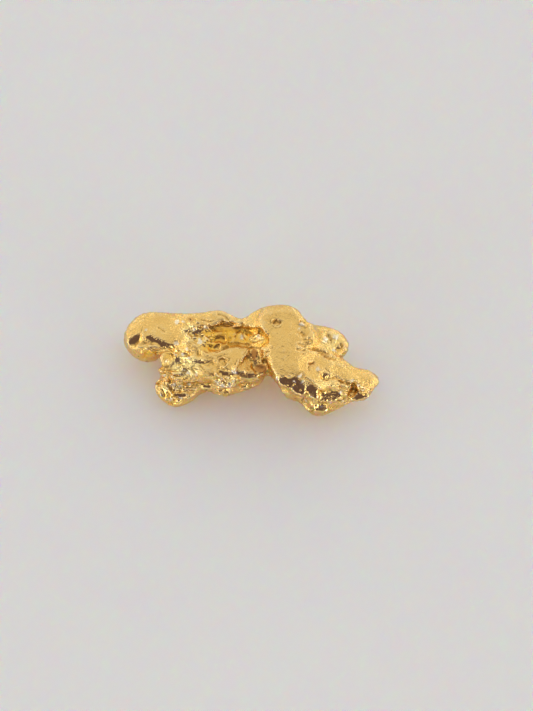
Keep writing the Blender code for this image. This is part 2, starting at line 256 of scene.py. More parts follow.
SAME_SKIN = 0.7  # a top or a facet only moves skin that is this near to it


# ---------------------------------------------------------------------------------------------
# Strokes on the show face
# ---------------------------------------------------------------------------------------------

# A stroke follows a path of (across, up) points. Without a fade it is a rounded ridge or groove of
# that half width and height. With a fade it is a ledge: the surface on the path's right-hand side
# drops by the height within the half width, and comes back within the fade.
Stroke = namedtuple("Stroke", "path half_width height fade")
STROKE_WIDTH = 0.75  # every stroke's width and height is drawn in by these
STROKE_HEIGHT = 0.70
RING_TURNS = 12
NO_LENGTH = 1e-9  # keeps a path of one point from dividing by its own length


def ridge(height, half_width, *path):
    return Stroke(path, half_width, height, None)


def groove(depth, half_width, *path):
    return Stroke(path, half_width, -depth, None)


def ledge(drop, half_width, fade, *path):
    return Stroke(path, half_width, -drop, fade)


def ring(height, half_width, middle, radius):
    """A raised ring round its middle."""
    turns = [math.tau * step / RING_TURNS for step in range(RING_TURNS + 1)]
    path = [(middle[0] + radius * math.cos(a), middle[1] + radius * math.sin(a)) for a in turns]
    return Stroke(path, half_width, height, None)


ARM = [
    ridge(0.06, 0.11, (-5.45, 1.45), (-5.52, 1.15), (-5.47, 0.84)),
    groove(0.05, 0.12, (-5.01, 0.30), (-4.81, 0.25), (-4.61, 0.17)),
    groove(0.06, 0.12, (-4.73, 1.42), (-4.58, 1.33), (-4.43, 1.22)),
    ridge(0.08, 0.30, (-3.08, 1.83)),
    groove(0.07, 0.13, (-3.10, 1.82)),
    ridge(0.05, 0.13, (-3.69, 1.73), (-3.49, 1.68)),
    ring(0.06, 0.07, (-3.82, 0.69), 0.14),
    groove(0.05, 0.10, (-3.82, 0.67)),
    ridge(0.05, 0.10, (-3.33, 1.09)),
    groove(0.04, 0.08, (-5.98, 1.58), (-5.83, 1.70)),
    groove(0.03, 0.08, (-5.62, 1.86), (-5.42, 1.93)),
    groove(0.03, 0.08, (-6.34, 1.60), (-6.18, 1.70)),
    ridge(0.04, 0.08, (-6.23, 1.22), (-6.03, 1.37)),
    ridge(0.05, 0.08, (-6.18, 0.94), (-5.88, 1.07)),
    groove(0.08, 0.12, (-5.42, 0.08), (-5.22, -0.03), (-5.04, 0.05)),
    groove(0.06, 0.09, (-5.75, -0.10), (-5.52, -0.15)),
    groove(0.04, 0.08, (-5.67, 0.51), (-5.32, 0.64), (-5.01, 0.56)),
    ridge(0.03, 0.08, (-5.98, 0.33), (-5.57, 0.41), (-5.22, 0.31)),
    groove(0.05, 0.09, (-4.86, 0.10), (-4.45, 0.08), (-4.05, 0.15)),
]
ARM_ROOT = [
    groove(0.10, 0.09, (-3.16, 1.15), (-2.98, 1.27)),
    ridge(0.08, 0.08, (-2.95, 1.35), (-2.77, 1.07)),
    groove(0.11, 0.10, (-2.88, 1.02), (-2.62, 1.15), (-2.44, 1.32)),
    groove(0.06, 0.08, (-2.75, 1.45), (-2.57, 1.37)),
    groove(0.09, 0.12, (-3.03, 0.92), (-2.77, 0.76)),
    ridge(0.08, 0.09, (-2.42, 1.30), (-2.32, 1.48)),
    groove(0.07, 0.10, (-2.54, 1.83), (-2.32, 1.78), (-2.01, 1.73)),
    ridge(0.06, 0.09, (-2.21, 1.63), (-1.96, 1.48)),
    groove(0.07, 0.09, (-2.16, 1.53), (-2.01, 1.35)),
    ridge(0.04, 0.08, (-2.77, 1.70), (-2.62, 1.63)),
    ridge(0.04, 0.08, (-2.26, 2.16), (-1.91, 2.11)),
    groove(0.06, 0.11, (-1.70, 2.09), (-1.40, 2.01), (-1.15, 1.81)),
    ridge(0.05, 0.08, (-4.05, 0.48), (-3.97, 0.28)),
    ledge(0.12, 0.15, 0.30, (-3.94, 0.33), (-3.59, 0.31), (-3.23, 0.25)),
    ridge(0.07, 0.09, (-4.10, -0.08), (-3.79, 0.08), (-3.44, 0.10), (-3.13, 0.23)),
    groove(0.07, 0.09, (-3.33, 0.03), (-3.18, 0.08)),
    ridge(0.07, 0.10, (-2.67, 0.99), (-2.52, 0.69), (-2.62, 0.48)),
    ridge(0.035, 0.09, (-2.93, 0.64), (-2.62, 0.28), (-2.21, 0.03), (-1.81, -0.10)),
    groove(0.03, 0.08, (-2.62, 0.05), (-2.26, -0.15), (-1.91, -0.20)),
]
KNUCKLE = [
    ridge(0.05, 0.07, (-4.02, -0.25), (-3.77, -0.48)),
    groove(0.09, 0.10, (-4.63, -0.92), (-4.30, -0.84), (-3.99, -1.02), (-3.64, -1.04)),
    ridge(0.09, 0.13, (-4.45, -0.53), (-4.40, -0.79)),
    ring(0.08, 0.08, (-4.43, -1.12), 0.16),
    groove(0.07, 0.10, (-4.48, -1.15)),
    ridge(0.07, 0.08, (-4.33, -0.03), (-4.25, -0.33)),
    ridge(0.07, 0.11, (-3.64, -0.28), (-3.38, -0.31)),
    ridge(0.08, 0.09, (-3.56, -0.53), (-3.46, -0.79), (-3.28, -0.99)),
    groove(0.08, 0.09, (-3.44, -0.69), (-3.23, -0.84), (-3.13, -1.09)),
    ridge(0.07, 0.08, (-3.23, -0.59), (-3.05, -0.84), (-2.88, -1.15)),
    ridge(0.06, 0.07, (-3.69, -0.76), (-3.44, -0.97)),
    groove(0.07, 0.09, (-3.03, -0.69), (-2.82, -0.94), (-2.72, -1.20)),
    groove(0.06, 0.09, (-3.49, -1.20), (-3.23, -1.30), (-2.93, -1.30)),
    ridge(0.09, 0.12, (-2.90, -0.61), (-2.52, -0.66)),
    ridge(0.07, 0.08, (-2.47, -0.79), (-2.37, -0.94), (-2.14, -1.02)),
    groove(0.08, 0.09, (-2.65, -0.48), (-2.47, -0.59)),
    ridge(0.06, 0.08, (-3.23, -0.08), (-3.13, -0.18)),
    ridge(0.06, 0.08, (-3.03, -0.53), (-3.13, -0.69)),
    ridge(0.10, 0.12, (-4.10, -1.48), (-3.84, -1.55)),
    ridge(0.09, 0.10, (-3.71, -1.55), (-3.56, -1.58)),
    ridge(0.10, 0.11, (-3.33, -1.58), (-3.18, -1.55)),
    ledge(0.12, 0.15, 0.20, (-3.99, -1.63), (-3.59, -1.68), (-3.13, -1.73)),
    ridge(0.08, 0.09, (-2.62, -1.48), (-2.47, -1.50)),
    groove(0.05, 0.08, (-2.82, -1.20), (-2.93, -1.45), (-3.13, -1.65)),
    groove(0.05, 0.08, (-4.20, -1.30), (-4.15, -1.55)),
]
TOE = [
    groove(0.07, 0.09, (-4.83, -1.37), (-4.66, -1.32)),
    ridge(0.07, 0.09, (-4.83, -1.53), (-4.68, -1.50)),
    groove(0.08, 0.10, (-4.81, -1.63), (-4.68, -1.76)),
    ledge(0.08, 0.10, 0.20, (-4.61, -1.48), (-4.45, -1.70), (-4.25, -1.86)),
    groove(0.10, 0.13, (-4.50, -1.81), (-4.38, -2.09)),
    ridge(0.06, 0.08, (-4.30, -1.65), (-4.10, -1.86), (-3.94, -2.06)),
    ridge(0.09, 0.12, (-4.35, -2.11), (-4.15, -2.37)),
    ridge(0.05, 0.07, (-3.74, -1.91), (-3.61, -2.14), (-3.44, -1.93)),
    groove(0.06, 0.09, (-3.97, -2.24), (-3.82, -2.29)),
    groove(0.06, 0.09, (-4.22, -2.44), (-4.05, -2.52)),
    groove(0.07, 0.10, (-3.13, -2.29), (-2.82, -2.06)),
    ridge(0.05, 0.08, (-3.33, -2.21), (-3.13, -2.06)),
    groove(0.05, 0.08, (-4.66, -2.21), (-4.45, -2.37)),
]
HOLLOW_LIP = [
    ledge(0.14, 0.13, 0.15, (-1.96, 1.50), (-1.65, 1.58), (-1.42, 1.69), (-0.97, 1.66)),
    ridge(0.09, 0.09, (-0.94, 1.51), (-0.59, 1.52), (-0.28, 1.56)),
    ledge(0.16, 0.15, 0.15, (-0.31, 1.58), (-0.08, 1.45), (0.23, 1.36), (0.48, 1.30), (0.74, 1.12)),
    ridge(0.05, 0.08, (-0.23, 1.30), (0.18, 1.17), (0.59, 0.97)),
]
HOLLOW = [
    groove(0.06, 0.16, (-1.88, 1.32), (-1.65, 1.27), (-1.48, 1.35)),
    ridge(0.06, 0.16, (-1.34, 1.16), (-1.27, 0.89), (-1.22, 0.55)),
    ledge(0.06, 0.36, 0.20, (-1.81, 1.07), (-1.55, 1.15), (-1.32, 1.04)),
    ridge(0.06, 0.08, (-1.92, 0.42), (-1.76, 0.62), (-1.52, 0.58)),
    groove(0.10, 0.14, (-2.21, 0.51), (-2.01, 0.31), (-1.76, 0.23), (-1.45, 0.36), (-1.20, 0.46)),
    ridge(0.06, 0.09, (-2.47, 1.09), (-2.32, 0.87)),
    groove(0.07, 0.09, (-2.26, 0.99), (-2.06, 0.79), (-2.11, 0.53)),
    ridge(0.06, 0.09, (-2.01, 1.15), (-1.91, 0.89)),
    ridge(0.05, 0.09, (-2.37, 0.74), (-2.21, 0.48)),
    groove(0.06, 0.09, (-2.57, 0.53), (-2.26, 0.43)),
    groove(0.07, 0.09, (-0.81, 0.99)),
    ridge(0.05, 0.14, (-0.52, 1.20), (-0.50, 0.99), (-0.38, 0.81)),
    groove(0.06, 0.12, (-0.69, 1.20), (-0.59, 1.25)),
    ledge(0.12, 0.17, 0.15, (-1.04, 0.71), (-0.69, 0.74), (-0.28, 0.66)),
    groove(0.06, 0.10, (-0.08, 1.17), (0.13, 0.99)),
    ridge(0.08, 0.11, (0.13, 0.94), (0.33, 1.07), (0.48, 0.97)),
    groove(0.06, 0.09, (0.23, 0.71), (0.38, 0.81)),
    ridge(0.05, 0.08, (0.03, 0.59), (0.33, 0.64), (0.64, 0.74)),
    ridge(0.05, 0.08, (-0.08, 0.87), (0.13, 0.79)),
]
PLATEAU = [
    ridge(0.07, 0.09, (-1.74, -0.38), (-1.66, -0.16), (-1.42, -0.08), (-1.20, -0.20)),
    ridge(0.05, 0.08, (-1.62, -0.55), (-1.38, -0.60), (-1.18, -0.45)),
    groove(0.06, 0.08, (-1.65, -0.20), (-1.48, -0.17), (-1.30, -0.23)),
    groove(0.07, 0.10, (-1.37, -0.32)),
    ridge(0.06, 0.09, (-1.22, -0.41)),
    ridge(0.04, 0.06, (-1.03, -0.23), (-1.01, -0.41)),
    groove(0.05, 0.07, (-1.42, 0.04), (-1.20, 0.09)),
    ridge(0.04, 0.08, (-1.81, 0.05)),
    ridge(0.09, 0.09, (-0.15, 0.28), (-0.41, -0.03), (-0.53, -0.28)),
    ridge(0.10, 0.09, (-0.64, -0.23), (-0.76, -0.53), (-0.87, -0.79)),
    ridge(0.07, 0.12, (-0.90, -0.80)),
    groove(0.08, 0.08, (-0.28, 0.18), (-0.41, 0.0)),
    ridge(0.06, 0.08, (-0.31, 0.0)),
    ridge(0.06, 0.08, (-1.30, -1.09), (-1.09, -1.12)),
    ridge(0.10, 0.11, (-1.81, -0.94), (-1.55, -1.15), (-1.30, -1.32)),
    groove(0.05, 0.06, (-1.60, -1.27), (-1.35, -1.42)),
    ridge(0.12, 0.09, (-1.87, -1.25), (-1.65, -1.45), (-1.35, -1.55), (-1.07, -1.57)),
    ridge(0.11, 0.10, (-1.02, -1.53), (-0.89, -1.35), (-0.89, -1.12)),
    ledge(0.10, 0.12, 0.15, (-1.70, -1.60), (-1.35, -1.67), (-0.99, -1.63)),
    groove(0.06, 0.08, (-1.76, -1.93), (-1.60, -1.91)),
    ridge(0.05, 0.08, (-1.40, -1.96), (-1.04, -1.93)),
]
POCKET = [
    groove(0.05, 0.24, (0.13, 0.25), (0.10, -0.03)),
    groove(0.06, 0.28, (0.23, -0.53), (0.48, -0.69), (0.71, -0.59)),
    groove(0.08, 0.10, (0.69, -0.84), (0.66, -1.15), (0.53, -1.35)),
    ridge(0.06, 0.16, (0.28, -0.20), (0.48, -0.31), (0.69, -0.41)),
    groove(0.07, 0.08, (0.61, -0.36)),
    groove(0.09, 0.08, (0.66, -0.08), (0.71, 0.15), (0.89, 0.24)),
    ridge(0.07, 0.09, (0.81, 0.0)),
    groove(0.06, 0.07, (0.74, -0.18), (0.89, -0.23)),
    ridge(0.09, 0.09, (-0.53, -1.32), (-0.33, -1.27)),
    groove(0.10, 0.10, (-0.19, -1.22)),
    ridge(0.07, 0.07, (-0.10, -1.53), (-0.05, -1.40)),
    ridge(0.07, 0.07, (0.08, -1.27), (0.23, -1.34)),
    ridge(0.06, 0.07, (0.03, -1.49), (0.18, -1.48)),
    groove(0.08, 0.09, (0.38, -1.11)),
    groove(0.07, 0.08, (-0.79, -1.30), (-0.74, -1.55)),
    groove(0.06, 0.07, (-0.64, -1.42), (-0.28, -1.48)),
    ridge(0.06, 0.08, (-0.69, -1.63), (-0.38, -1.65)),
    groove(0.07, 0.09, (-0.61, -1.81), (-0.43, -1.76)),
    ridge(0.06, 0.08, (0.81, -0.89), (0.92, -1.04)),
]
HUMP = [
    groove(0.05, 0.24, (1.25, 1.70)),
    ledge(0.12, 0.13, 0.10, (1.10, 1.78), (1.16, 1.87), (1.32, 1.88), (1.42, 1.80)),
    ridge(0.05, 0.08, (1.02, 1.70), (1.06, 1.84)),
    ridge(0.07, 0.08, (1.04, 1.66), (1.20, 1.48), (1.35, 1.45), (1.50, 1.60)),
    ridge(0.05, 0.09, (2.42, 1.83), (2.62, 1.93)),
    groove(0.08, 0.10, (2.52, 1.76), (2.72, 1.70)),
    ridge(0.08, 0.09, (2.44, 1.64), (2.75, 1.50)),
    ridge(0.05, 0.07, (2.16, 1.44)),
    ridge(0.05, 0.08, (2.37, 1.38)),
    groove(0.05, 0.07, (2.01, 1.30)),
    groove(0.05, 0.07, (2.44, 1.27)),
    ledge(0.07, 0.11, 0.15, (2.49, 1.25), (2.60, 1.24), (2.68, 1.14)),
    ridge(0.05, 0.07, (2.34, 1.07), (2.44, 1.22)),
    ledge(0.06, 0.10, 0.12, (2.80, 0.89), (2.90, 0.90), (3.00, 0.84)),
    ledge(0.07, 0.10, 0.12, (2.49, 0.66), (2.60, 0.64), (2.68, 0.56)),
    ridge(0.06, 0.08, (2.80, 0.50)),
    ledge(0.07, 0.11, 0.12, (2.40, 0.39), (2.54, 0.40), (2.66, 0.36)),
    groove(0.05, 0.11, (2.65, 0.10)),
    groove(0.035, 0.06, (1.32, 1.12)),
    groove(0.03, 0.06, (1.50, 1.08)),
    groove(0.04, 0.06, (1.25, 0.51)),
    ridge(0.03, 0.07, (1.28, 0.37)),
    groove(0.045, 0.06, (1.53, 0.45), (1.65, 0.45)),
    groove(0.04, 0.07, (2.05, 0.50)),
    groove(0.08, 0.08, (1.06, 0.39)),
    groove(0.06, 0.07, (0.88, 0.56)),
    ridge(0.05, 0.06, (0.92, 0.61), (1.04, 0.47)),
    groove(0.02, 0.07, (1.81, 2.34), (1.88, 2.21)),
    groove(0.03, 0.06, (0.84, 1.25)),
    groove(0.025, 0.07, (1.60, -0.28), (1.81, -0.08), (1.93, 0.03)),
]
BACK_LOBE = [
    ledge(0.10, 0.10, 0.15, (3.03, 0.43), (3.28, 0.41), (3.56, 0.30)),
    groove(0.045, 0.07, (3.05, 1.40), (3.23, 1.20), (3.28, 0.92)),
    ridge(0.04, 0.07, (3.38, 1.37), (3.64, 1.45)),
    groove(0.045, 0.07, (3.69, 1.25), (3.94, 1.28)),
    ridge(0.07, 0.15, (3.71, 1.09), (3.82, 0.89), (3.97, 0.71)),
    ridge(0.07, 0.09, (3.61, 0.76), (3.84, 0.61)),
    groove(0.03, 0.09, (4.02, 0.94), (4.05, 0.64)),
    ridge(0.07, 0.16, (4.25, 1.07), (4.33, 0.84), (4.25, 0.69)),
    ridge(0.09, 0.11, (4.15, 0.33), (4.22, 0.18)),
    ridge(0.06, 0.08, (4.30, 0.46), (4.45, 0.53)),
    groove(0.08, 0.10, (4.55, 0.61), (4.61, 0.43)),
    groove(0.06, 0.08, (4.76, 0.59), (4.86, 0.43)),
    ridge(0.05, 0.09, (4.68, 0.18), (4.81, 0.28)),
    ridge(0.05, 0.07, (4.58, 0.04)),
    ledge(0.10, 0.11, 0.20, (3.51, 0.18), (3.66, 0.24), (3.82, 0.20)),
    groove(0.14, 0.17, (3.77, -0.03)),
    ledge(0.09, 0.11, 0.15, (3.97, -0.03), (4.10, -0.02), (4.22, -0.08)),
    ridge(0.04, 0.07, (4.27, -0.08)),
]
SLAB = [
    groove(0.14, 0.15, (2.98, -0.41), (3.13, -0.38)),
    groove(0.08, 0.09, (2.93, -0.56), (2.96, -0.76)),
    ridge(0.06, 0.08, (3.19, -0.57)),
    ridge(0.07, 0.08, (3.37, -0.68), (3.45, -0.81)),
    groove(0.06, 0.07, (3.71, -0.64), (3.87, -0.74), (3.99, -0.87)),
    ridge(0.06, 0.08, (3.77, -1.06)),
    groove(0.07, 0.08, (3.64, -1.20), (3.84, -1.20), (3.92, -1.07)),
    ledge(0.10, 0.12, 0.15, (3.89, -1.09), (4.10, -1.06), (4.25, -0.99), (4.50, -1.12), (4.66, -1.27)),
    ledge(0.12, 0.13, 0.15, (4.63, -1.22), (4.78, -1.22), (4.94, -1.32)),
    ridge(0.05, 0.09, (3.99, -1.21)),
    groove(0.05, 0.07, (4.55, -1.35), (4.50, -1.60)),
    groove(0.04, 0.06, (3.23, -1.32), (3.54, -1.34)),
    ridge(0.04, 0.06, (3.62, -1.30)),
    ledge(0.10, 0.10, 0.15, (2.85, -1.15), (3.08, -1.30), (3.33, -1.54), (3.56, -1.83)),
    ridge(0.06, 0.08, (2.77, -1.25), (3.03, -1.42), (3.26, -1.65)),
    ring(0.09, 0.08, (2.56, -1.06), 0.15),
    groove(0.06, 0.09, (2.57, -1.06)),
    ridge(0.05, 0.08, (2.60, -1.22), (2.72, -1.42)),
    ridge(0.10, 0.15, (1.27, -1.15)),
    groove(0.05, 0.08, (2.01, -0.92), (2.26, -1.04)),
    ridge(0.08, 0.09, (4.50, -1.83)),
    ledge(0.08, 0.10, 0.15, (4.58, -1.57), (4.91, -1.60)),
    ledge(0.08, 0.10, 0.15, (4.61, -1.76), (4.86, -1.78)),
    ridge(0.03, 0.07, (1.55, -0.51)),
    ridge(0.03, 0.09, (5.72, -0.94)),
]
FRONT = [
    ridge(0.15, 0.07, (1.86, -1.40)),
    ridge(0.13, 0.07, (2.14, -1.32), (2.18, -1.37)),
    ridge(0.15, 0.07, (2.01, -1.60), (2.06, -1.56)),
    ridge(0.14, 0.07, (2.29, -1.63)),
    ridge(0.14, 0.07, (2.44, -1.81), (2.50, -1.76)),
    groove(0.12, 0.07, (1.70, -1.30)),
    groove(0.12, 0.07, (2.20, -1.50), (2.14, -1.56)),
    groove(0.12, 0.07, (2.38, -1.48)),
    groove(0.10, 0.07, (1.80, -1.54), (1.88, -1.58)),
    ridge(0.12, 0.07, (3.12, -1.84), (3.08, -2.00)),
    ridge(0.10, 0.07, (2.92, -1.72)),
    ridge(0.028, 0.07, (1.96, -1.83), (2.21, -2.05), (2.47, -2.04), (2.72, -1.91)),
    groove(0.022, 0.06, (1.65, -1.81)),
    groove(0.022, 0.06, (1.78, -1.96)),
    groove(0.022, 0.06, (1.94, -2.04)),
    ridge(0.044, 0.09, (2.77, -1.81)),
    ridge(0.05, 0.09, (3.20, -1.81)),
    ridge(0.044, 0.08, (3.36, -1.76), (3.41, -2.06)),
    ridge(0.039, 0.08, (3.46, -2.47), (3.56, -2.34)),
    ring(0.09, 0.09, (2.99, -2.41), 0.36),
    groove(0.055, 0.27, (2.99, -2.41)),
    ridge(0.044, 0.08, (2.85, -2.23)),
    groove(0.033, 0.08, (3.08, -2.29)),
    ridge(0.033, 0.08, (2.93, -2.52)),
    groove(0.033, 0.08, (3.13, -2.52)),
    groove(0.039, 0.08, (2.52, -2.32), (2.67, -2.16)),
    groove(0.033, 0.08, (2.65, -2.52)),
    ridge(0.028, 0.07, (2.57, -2.62)),
    ridge(0.033, 0.07, (3.89, -2.04), (4.15, -2.04)),
    ridge(0.044, 0.08, (3.81, -2.24), (3.84, -2.42)),
    ridge(0.033, 0.07, (3.94, -2.52)),
    ridge(0.044, 0.09, (3.66, -2.72)),
    groove(0.028, 0.06, (3.84, -2.62), (4.20, -2.37), (4.55, -2.16)),
    ridge(0.033, 0.07, (3.79, -2.93), (4.05, -2.70), (4.25, -2.47)),
    ridge(0.033, 0.07, (4.55, -2.16), (4.68, -2.34)),
    groove(0.05, 0.10, (4.17, -2.71), (4.40, -2.61)),
    ledge(0.044, 0.09, 0.15, (4.40, -2.60), (4.71, -2.47), (5.04, -2.40)),
    groove(0.044, 0.10, (3.92, -2.90), (4.10, -2.85)),
    ridge(0.028, 0.06, (4.30, -2.75), (4.66, -2.60)),
]
TIP = [
    groove(0.20, 0.27, (5.22, -1.58), (5.17, -1.81), (5.04, -2.06)),
    ridge(0.10, 0.08, (4.99, -1.65), (5.06, -1.37), (5.27, -1.26), (5.46, -1.42), (5.54, -1.65)),
    ridge(0.07, 0.07, (5.46, -1.76), (5.34, -1.98), (5.17, -2.16)),
    ridge(0.08, 0.10, (5.70, -1.76)),
    ridge(0.07, 0.08, (5.80, -1.97)),
    ridge(0.04, 0.06, (5.52, -1.58), (5.83, -1.68), (6.08, -1.60)),
    groove(0.05, 0.06, (5.57, -1.88), (5.88, -1.83), (6.13, -1.73)),
    groove(0.05, 0.07, (6.13, -1.86), (6.28, -1.76)),
]
SHOW_FACE = [
    ARM, ARM_ROOT, KNUCKLE, TOE, HOLLOW_LIP, HOLLOW, PLATEAU, POCKET, HUMP, BACK_LOBE, SLAB, FRONT, TIP,
]

# Where the show face is crumpled: across, up, the radius within which it fades, and how much. The rest
# of it is worn smooth.
ROUGH_PATCHES = [
    (-3.00, 1.20, 0.98, 1.0),
    (-2.30, 0.80, 0.84, 0.9),
    (-3.70, -0.80, 1.26, 0.9),
    (-4.10, -1.90, 1.26, 1.0),
    (-1.30, -1.30, 1.26, 0.9),
    (-0.20, -1.40, 0.98, 0.8),
    (2.40, -2.00, 0.56, 0.6),
    (3.00, -2.35, 0.84, 0.5),
    (4.10, -2.45, 0.868, 0.5),
    (-1.00, 0.95, 0.56, 0.35),
    (-0.20, 0.95, 0.70, 0.5),
    (4.25, 0.45, 0.84, 0.7),
    (5.50, -1.80, 0.98, 0.9),
    (-5.30, 0.10, 0.84, 0.6),
]
SMOOTH_LEFT = 0.15  # how much of the crumpling is left where the nugget is worn smooth

# The other sides are crumpled this much, with a drift of more and less over them.
SIDES_ROUGH = 0.50
SIDES_DRIFT = 0.8
SIDES_PER_MM = 0.7
BACK_CALM = 0.6  # how much less the nugget's far edge is crumpled than its other sides

NOISE_SEED = 2  # for the noise that bends the nodules and the painted glints
SWELL = 0.020
SWELLS_PER_MM = 0.8

# Layers of creases: their height, or their depth if that is negative, how many there are to a
# millimetre, the level that they are measured from, and where in the noise each layer is read.
Layer = namedtuple("Layer", "height per_mm level shift")

FOLDS = Layer(0.050, 1.6, 0.3, Vector((3, 1, 8)))
WRINKLES = Layer(-0.110, 2.8, 0.25, Vector((7, 2, 5)))
GRAINS = Layer(0.040, 6.5, 0.25, Vector((1, 6, 4)))

NODULE = 0.120
NODULES_PER_MM = 3.0
NODULE_LEVEL = 0.6
NODULE_BEND = 0.35
NODULE_BENDS_PER_MM = 2.5

# Spots of colour on the gold (stains with painted glow and shade, and painted sheen): the middle, the
# half widths, and how much. A spot starts to fade within its half widths and ends just beyond them.
ColourSpot = namedtuple("ColourSpot", "middle half_widths share")

# Orange stain with painted glow: most of these spots lie in the hollow and its pits, where they paint the
# glow of light bouncing between gold walls.
ORANGE_STAINS_AND_GLOW = [
    ColourSpot((-2.20, 0.75), (0.60, 0.55), 0.9),
    ColourSpot((-1.45, 0.95), (0.75, 0.60), 1.0),
    ColourSpot((-0.40, 1.00), (1.10, 0.45), 0.9),
    ColourSpot((0.50, 0.85), (0.50, 0.45), 0.7),
    ColourSpot((-5.25, 0.02), (0.40, 0.26), 0.9),
    ColourSpot((-3.45, -0.90), (0.60, 0.45), 0.4),
    ColourSpot((-4.20, -2.20), (0.45, 0.35), 0.5),
    ColourSpot((-4.10, -0.05), (0.50, 0.30), 0.4),
    ColourSpot((4.40, 0.55), (0.35, 0.35), 0.6),
    ColourSpot((3.20, 0.85), (0.40, 0.40), 0.3),
    ColourSpot((2.90, 1.85), (0.30, 0.25), 0.6),
    ColourSpot((3.00, -2.40), (0.45, 0.45), 0.4),
]
# Iron stain with painted shade: the brown in the pocket under the hump and in the pits is painted where
# shade falls.
IRON_STAINS_AND_SHADE = [
    ColourSpot((0.14, 0.08), (0.18, 0.28), 1.0),
    ColourSpot((0.48, -0.66), (0.36, 0.24), 1.0),
    ColourSpot((0.66, -1.10), (0.12, 0.30), 0.5),
    ColourSpot((-0.20, -1.00), (0.62, 0.20), 0.3),
    ColourSpot((-1.65, 1.28), (0.24, 0.14), 0.5),
    ColourSpot((-1.55, 0.78), (0.34, 0.42), 0.5),
    ColourSpot((-0.95, 1.42), (0.60, 0.14), 0.35),
    ColourSpot((-0.90, 0.80), (0.34, 0.20), 0.2),
    ColourSpot((-3.08, 1.83), (0.18, 0.14), 0.4),
    ColourSpot((3.77, -0.04), (0.20, 0.18), 0.35),
    ColourSpot((3.05, -0.42), (0.24, 0.18), 0.35),
    ColourSpot((5.18, -1.80), (0.26, 0.30), 0.4),
    ColourSpot((4.60, 0.40), (0.28, 0.35), 0.2),
]
# Painted sheen: broad pale patches where the rough places would catch many small highlights.
PAINTED_SHEEN_PATCHES = [
    ColourSpot((-3.35, -0.55), (0.80, 0.62), 0.75),
    ColourSpot((-4.10, -1.55), (0.55, 0.25), 0.5),
    ColourSpot((-2.55, 0.78), (0.26, 0.40), 0.5),
    ColourSpot((0.28, 0.90), (0.40, 0.30), 0.6),
    ColourSpot((-0.48, 0.95), (0.22, 0.20), 0.4),
    ColourSpot((4.10, 0.75), (0.62, 0.50), 0.55),
    ColourSpot((-3.10, 1.15), (0.50, 0.50), 0.4),
    ColourSpot((-1.40, -1.45), (0.60, 0.25), 0.6),
    ColourSpot((2.75, -1.45), (0.30, 0.30), 0.4),
    ColourSpot((2.95, -2.40), (0.55, 0.50), 0.4),
    ColourSpot((3.80, -1.50), (0.55, 0.30), 0.3),
]

COLOUR_SPOTS = {"orange_stain_and_glow": ORANGE_STAINS_AND_GLOW, "iron_stain_and_shade": IRON_STAINS_AND_SHADE, "painted_sheen": PAINTED_SHEEN_PATCHES}

# Painted glints, small spots of pale bright metal colour: across, up, and the radius.
PAINTED_GLINTS = [
    (-3.84, 0.64, 0.11), (-3.79, 1.70, 0.10), (-3.49, 1.73, 0.09), (-3.13, -0.08, 0.10),
    (-3.44, 0.03, 0.09), (-3.84, 0.08, 0.08), (-3.99, -1.50, 0.11), (-3.64, -1.55, 0.09),
    (-3.18, -1.53, 0.10), (-4.45, -1.04, 0.10), (-2.64, 0.74, 0.12), (-2.32, 1.41, 0.10),
    (-0.48, 0.94, 0.11), (0.31, 0.97, 0.11), (-0.87, -0.81, 0.13), (-1.76, -1.37, 0.09),
    (-1.45, -1.55, 0.11), (-1.09, -1.55, 0.10), (-0.92, -1.35, 0.09), (1.30, -1.17, 0.13),
    (4.17, 0.28, 0.11), (3.79, 0.84, 0.14), (4.30, 0.94, 0.13), (2.57, 1.60, 0.10),
    (2.42, 1.35, 0.07), (3.40, -0.69, 0.10), (4.53, -1.86, 0.11), (5.11, -1.30, 0.09),
    (5.42, -1.50, 0.09), (2.47, -1.04, 0.10), (2.57, -1.35, 0.09), (2.77, -2.32, 0.09),
    (3.08, -2.16, 0.08), (-4.10, -2.21, 0.10), (-5.34, 1.30, 0.08), (-3.23, -0.84, 0.10),
    (-3.49, -0.69, 0.09), (-2.82, -0.94, 0.09), (-4.30, -0.30, 0.08), (-3.30, 0.35, 0.07),
    (-2.95, 1.30, 0.08), (-4.60, -2.00, 0.07), (-3.60, -2.20, 0.07), (3.60, -2.60, 0.08),
    (4.05, -2.40, 0.07), (2.20, -1.35, 0.05), (2.05, -1.62, 0.05), (4.70, -2.30, 0.07),
]
GLINT_BEND = 0.13  # how far the spots' edges are bent
GLINT_BENDS_PER_MM = 5.0

SPOT_REACH = 1.2  # a colour spot ends at this many of its half widths
GLINT_REACH = 1.15  # a painted glint ends at this many of its radii
SPOT_EDGE = 0.5  # and both fade over this many

FRONT_EDGE = -2.78  # the skin is held back where it would stand further forward than this
FRONT_GIVE = 0.07  # and passes it by no more than this

MARKS = 420  # pits, creases and ridges scattered over the sides that the show face turns from
MARK_SEED = 23
MARK_HEIGHTS = (-0.14, 0.08)
MARK_HALF_WIDTHS = (0.06, 0.17)
MARK_LENGTHS = (0.1, 0.9)
MARK_BEND = 0.5  # the most that a mark bends aside, against its length
HIDDEN_GAIN = 2.5  # how soon the marks reach their full height as the skin turns from the show face
HIDDEN_ENOUGH = 0.5  # the share of that height from which a mark may start

# How the relief is measured for the gold: how often the skin's surroundings are averaged, and how far
# the skin stands above them where its relief is full.
Relief = namedtuple("Relief", "averagings full_height")

RELIEFS = {
    "fine_relief": Relief(4, 0.010),
    "broad_relief": Relief(30, 0.055),
}


# ---------------------------------------------------------------------------------------------
# Mesh tools
# ---------------------------------------------------------------------------------------------

def add_object(name, data):
    obj = bpy.data.objects.new(name, data)
    bpy.context.scene.collection.objects.link(obj)
    return obj


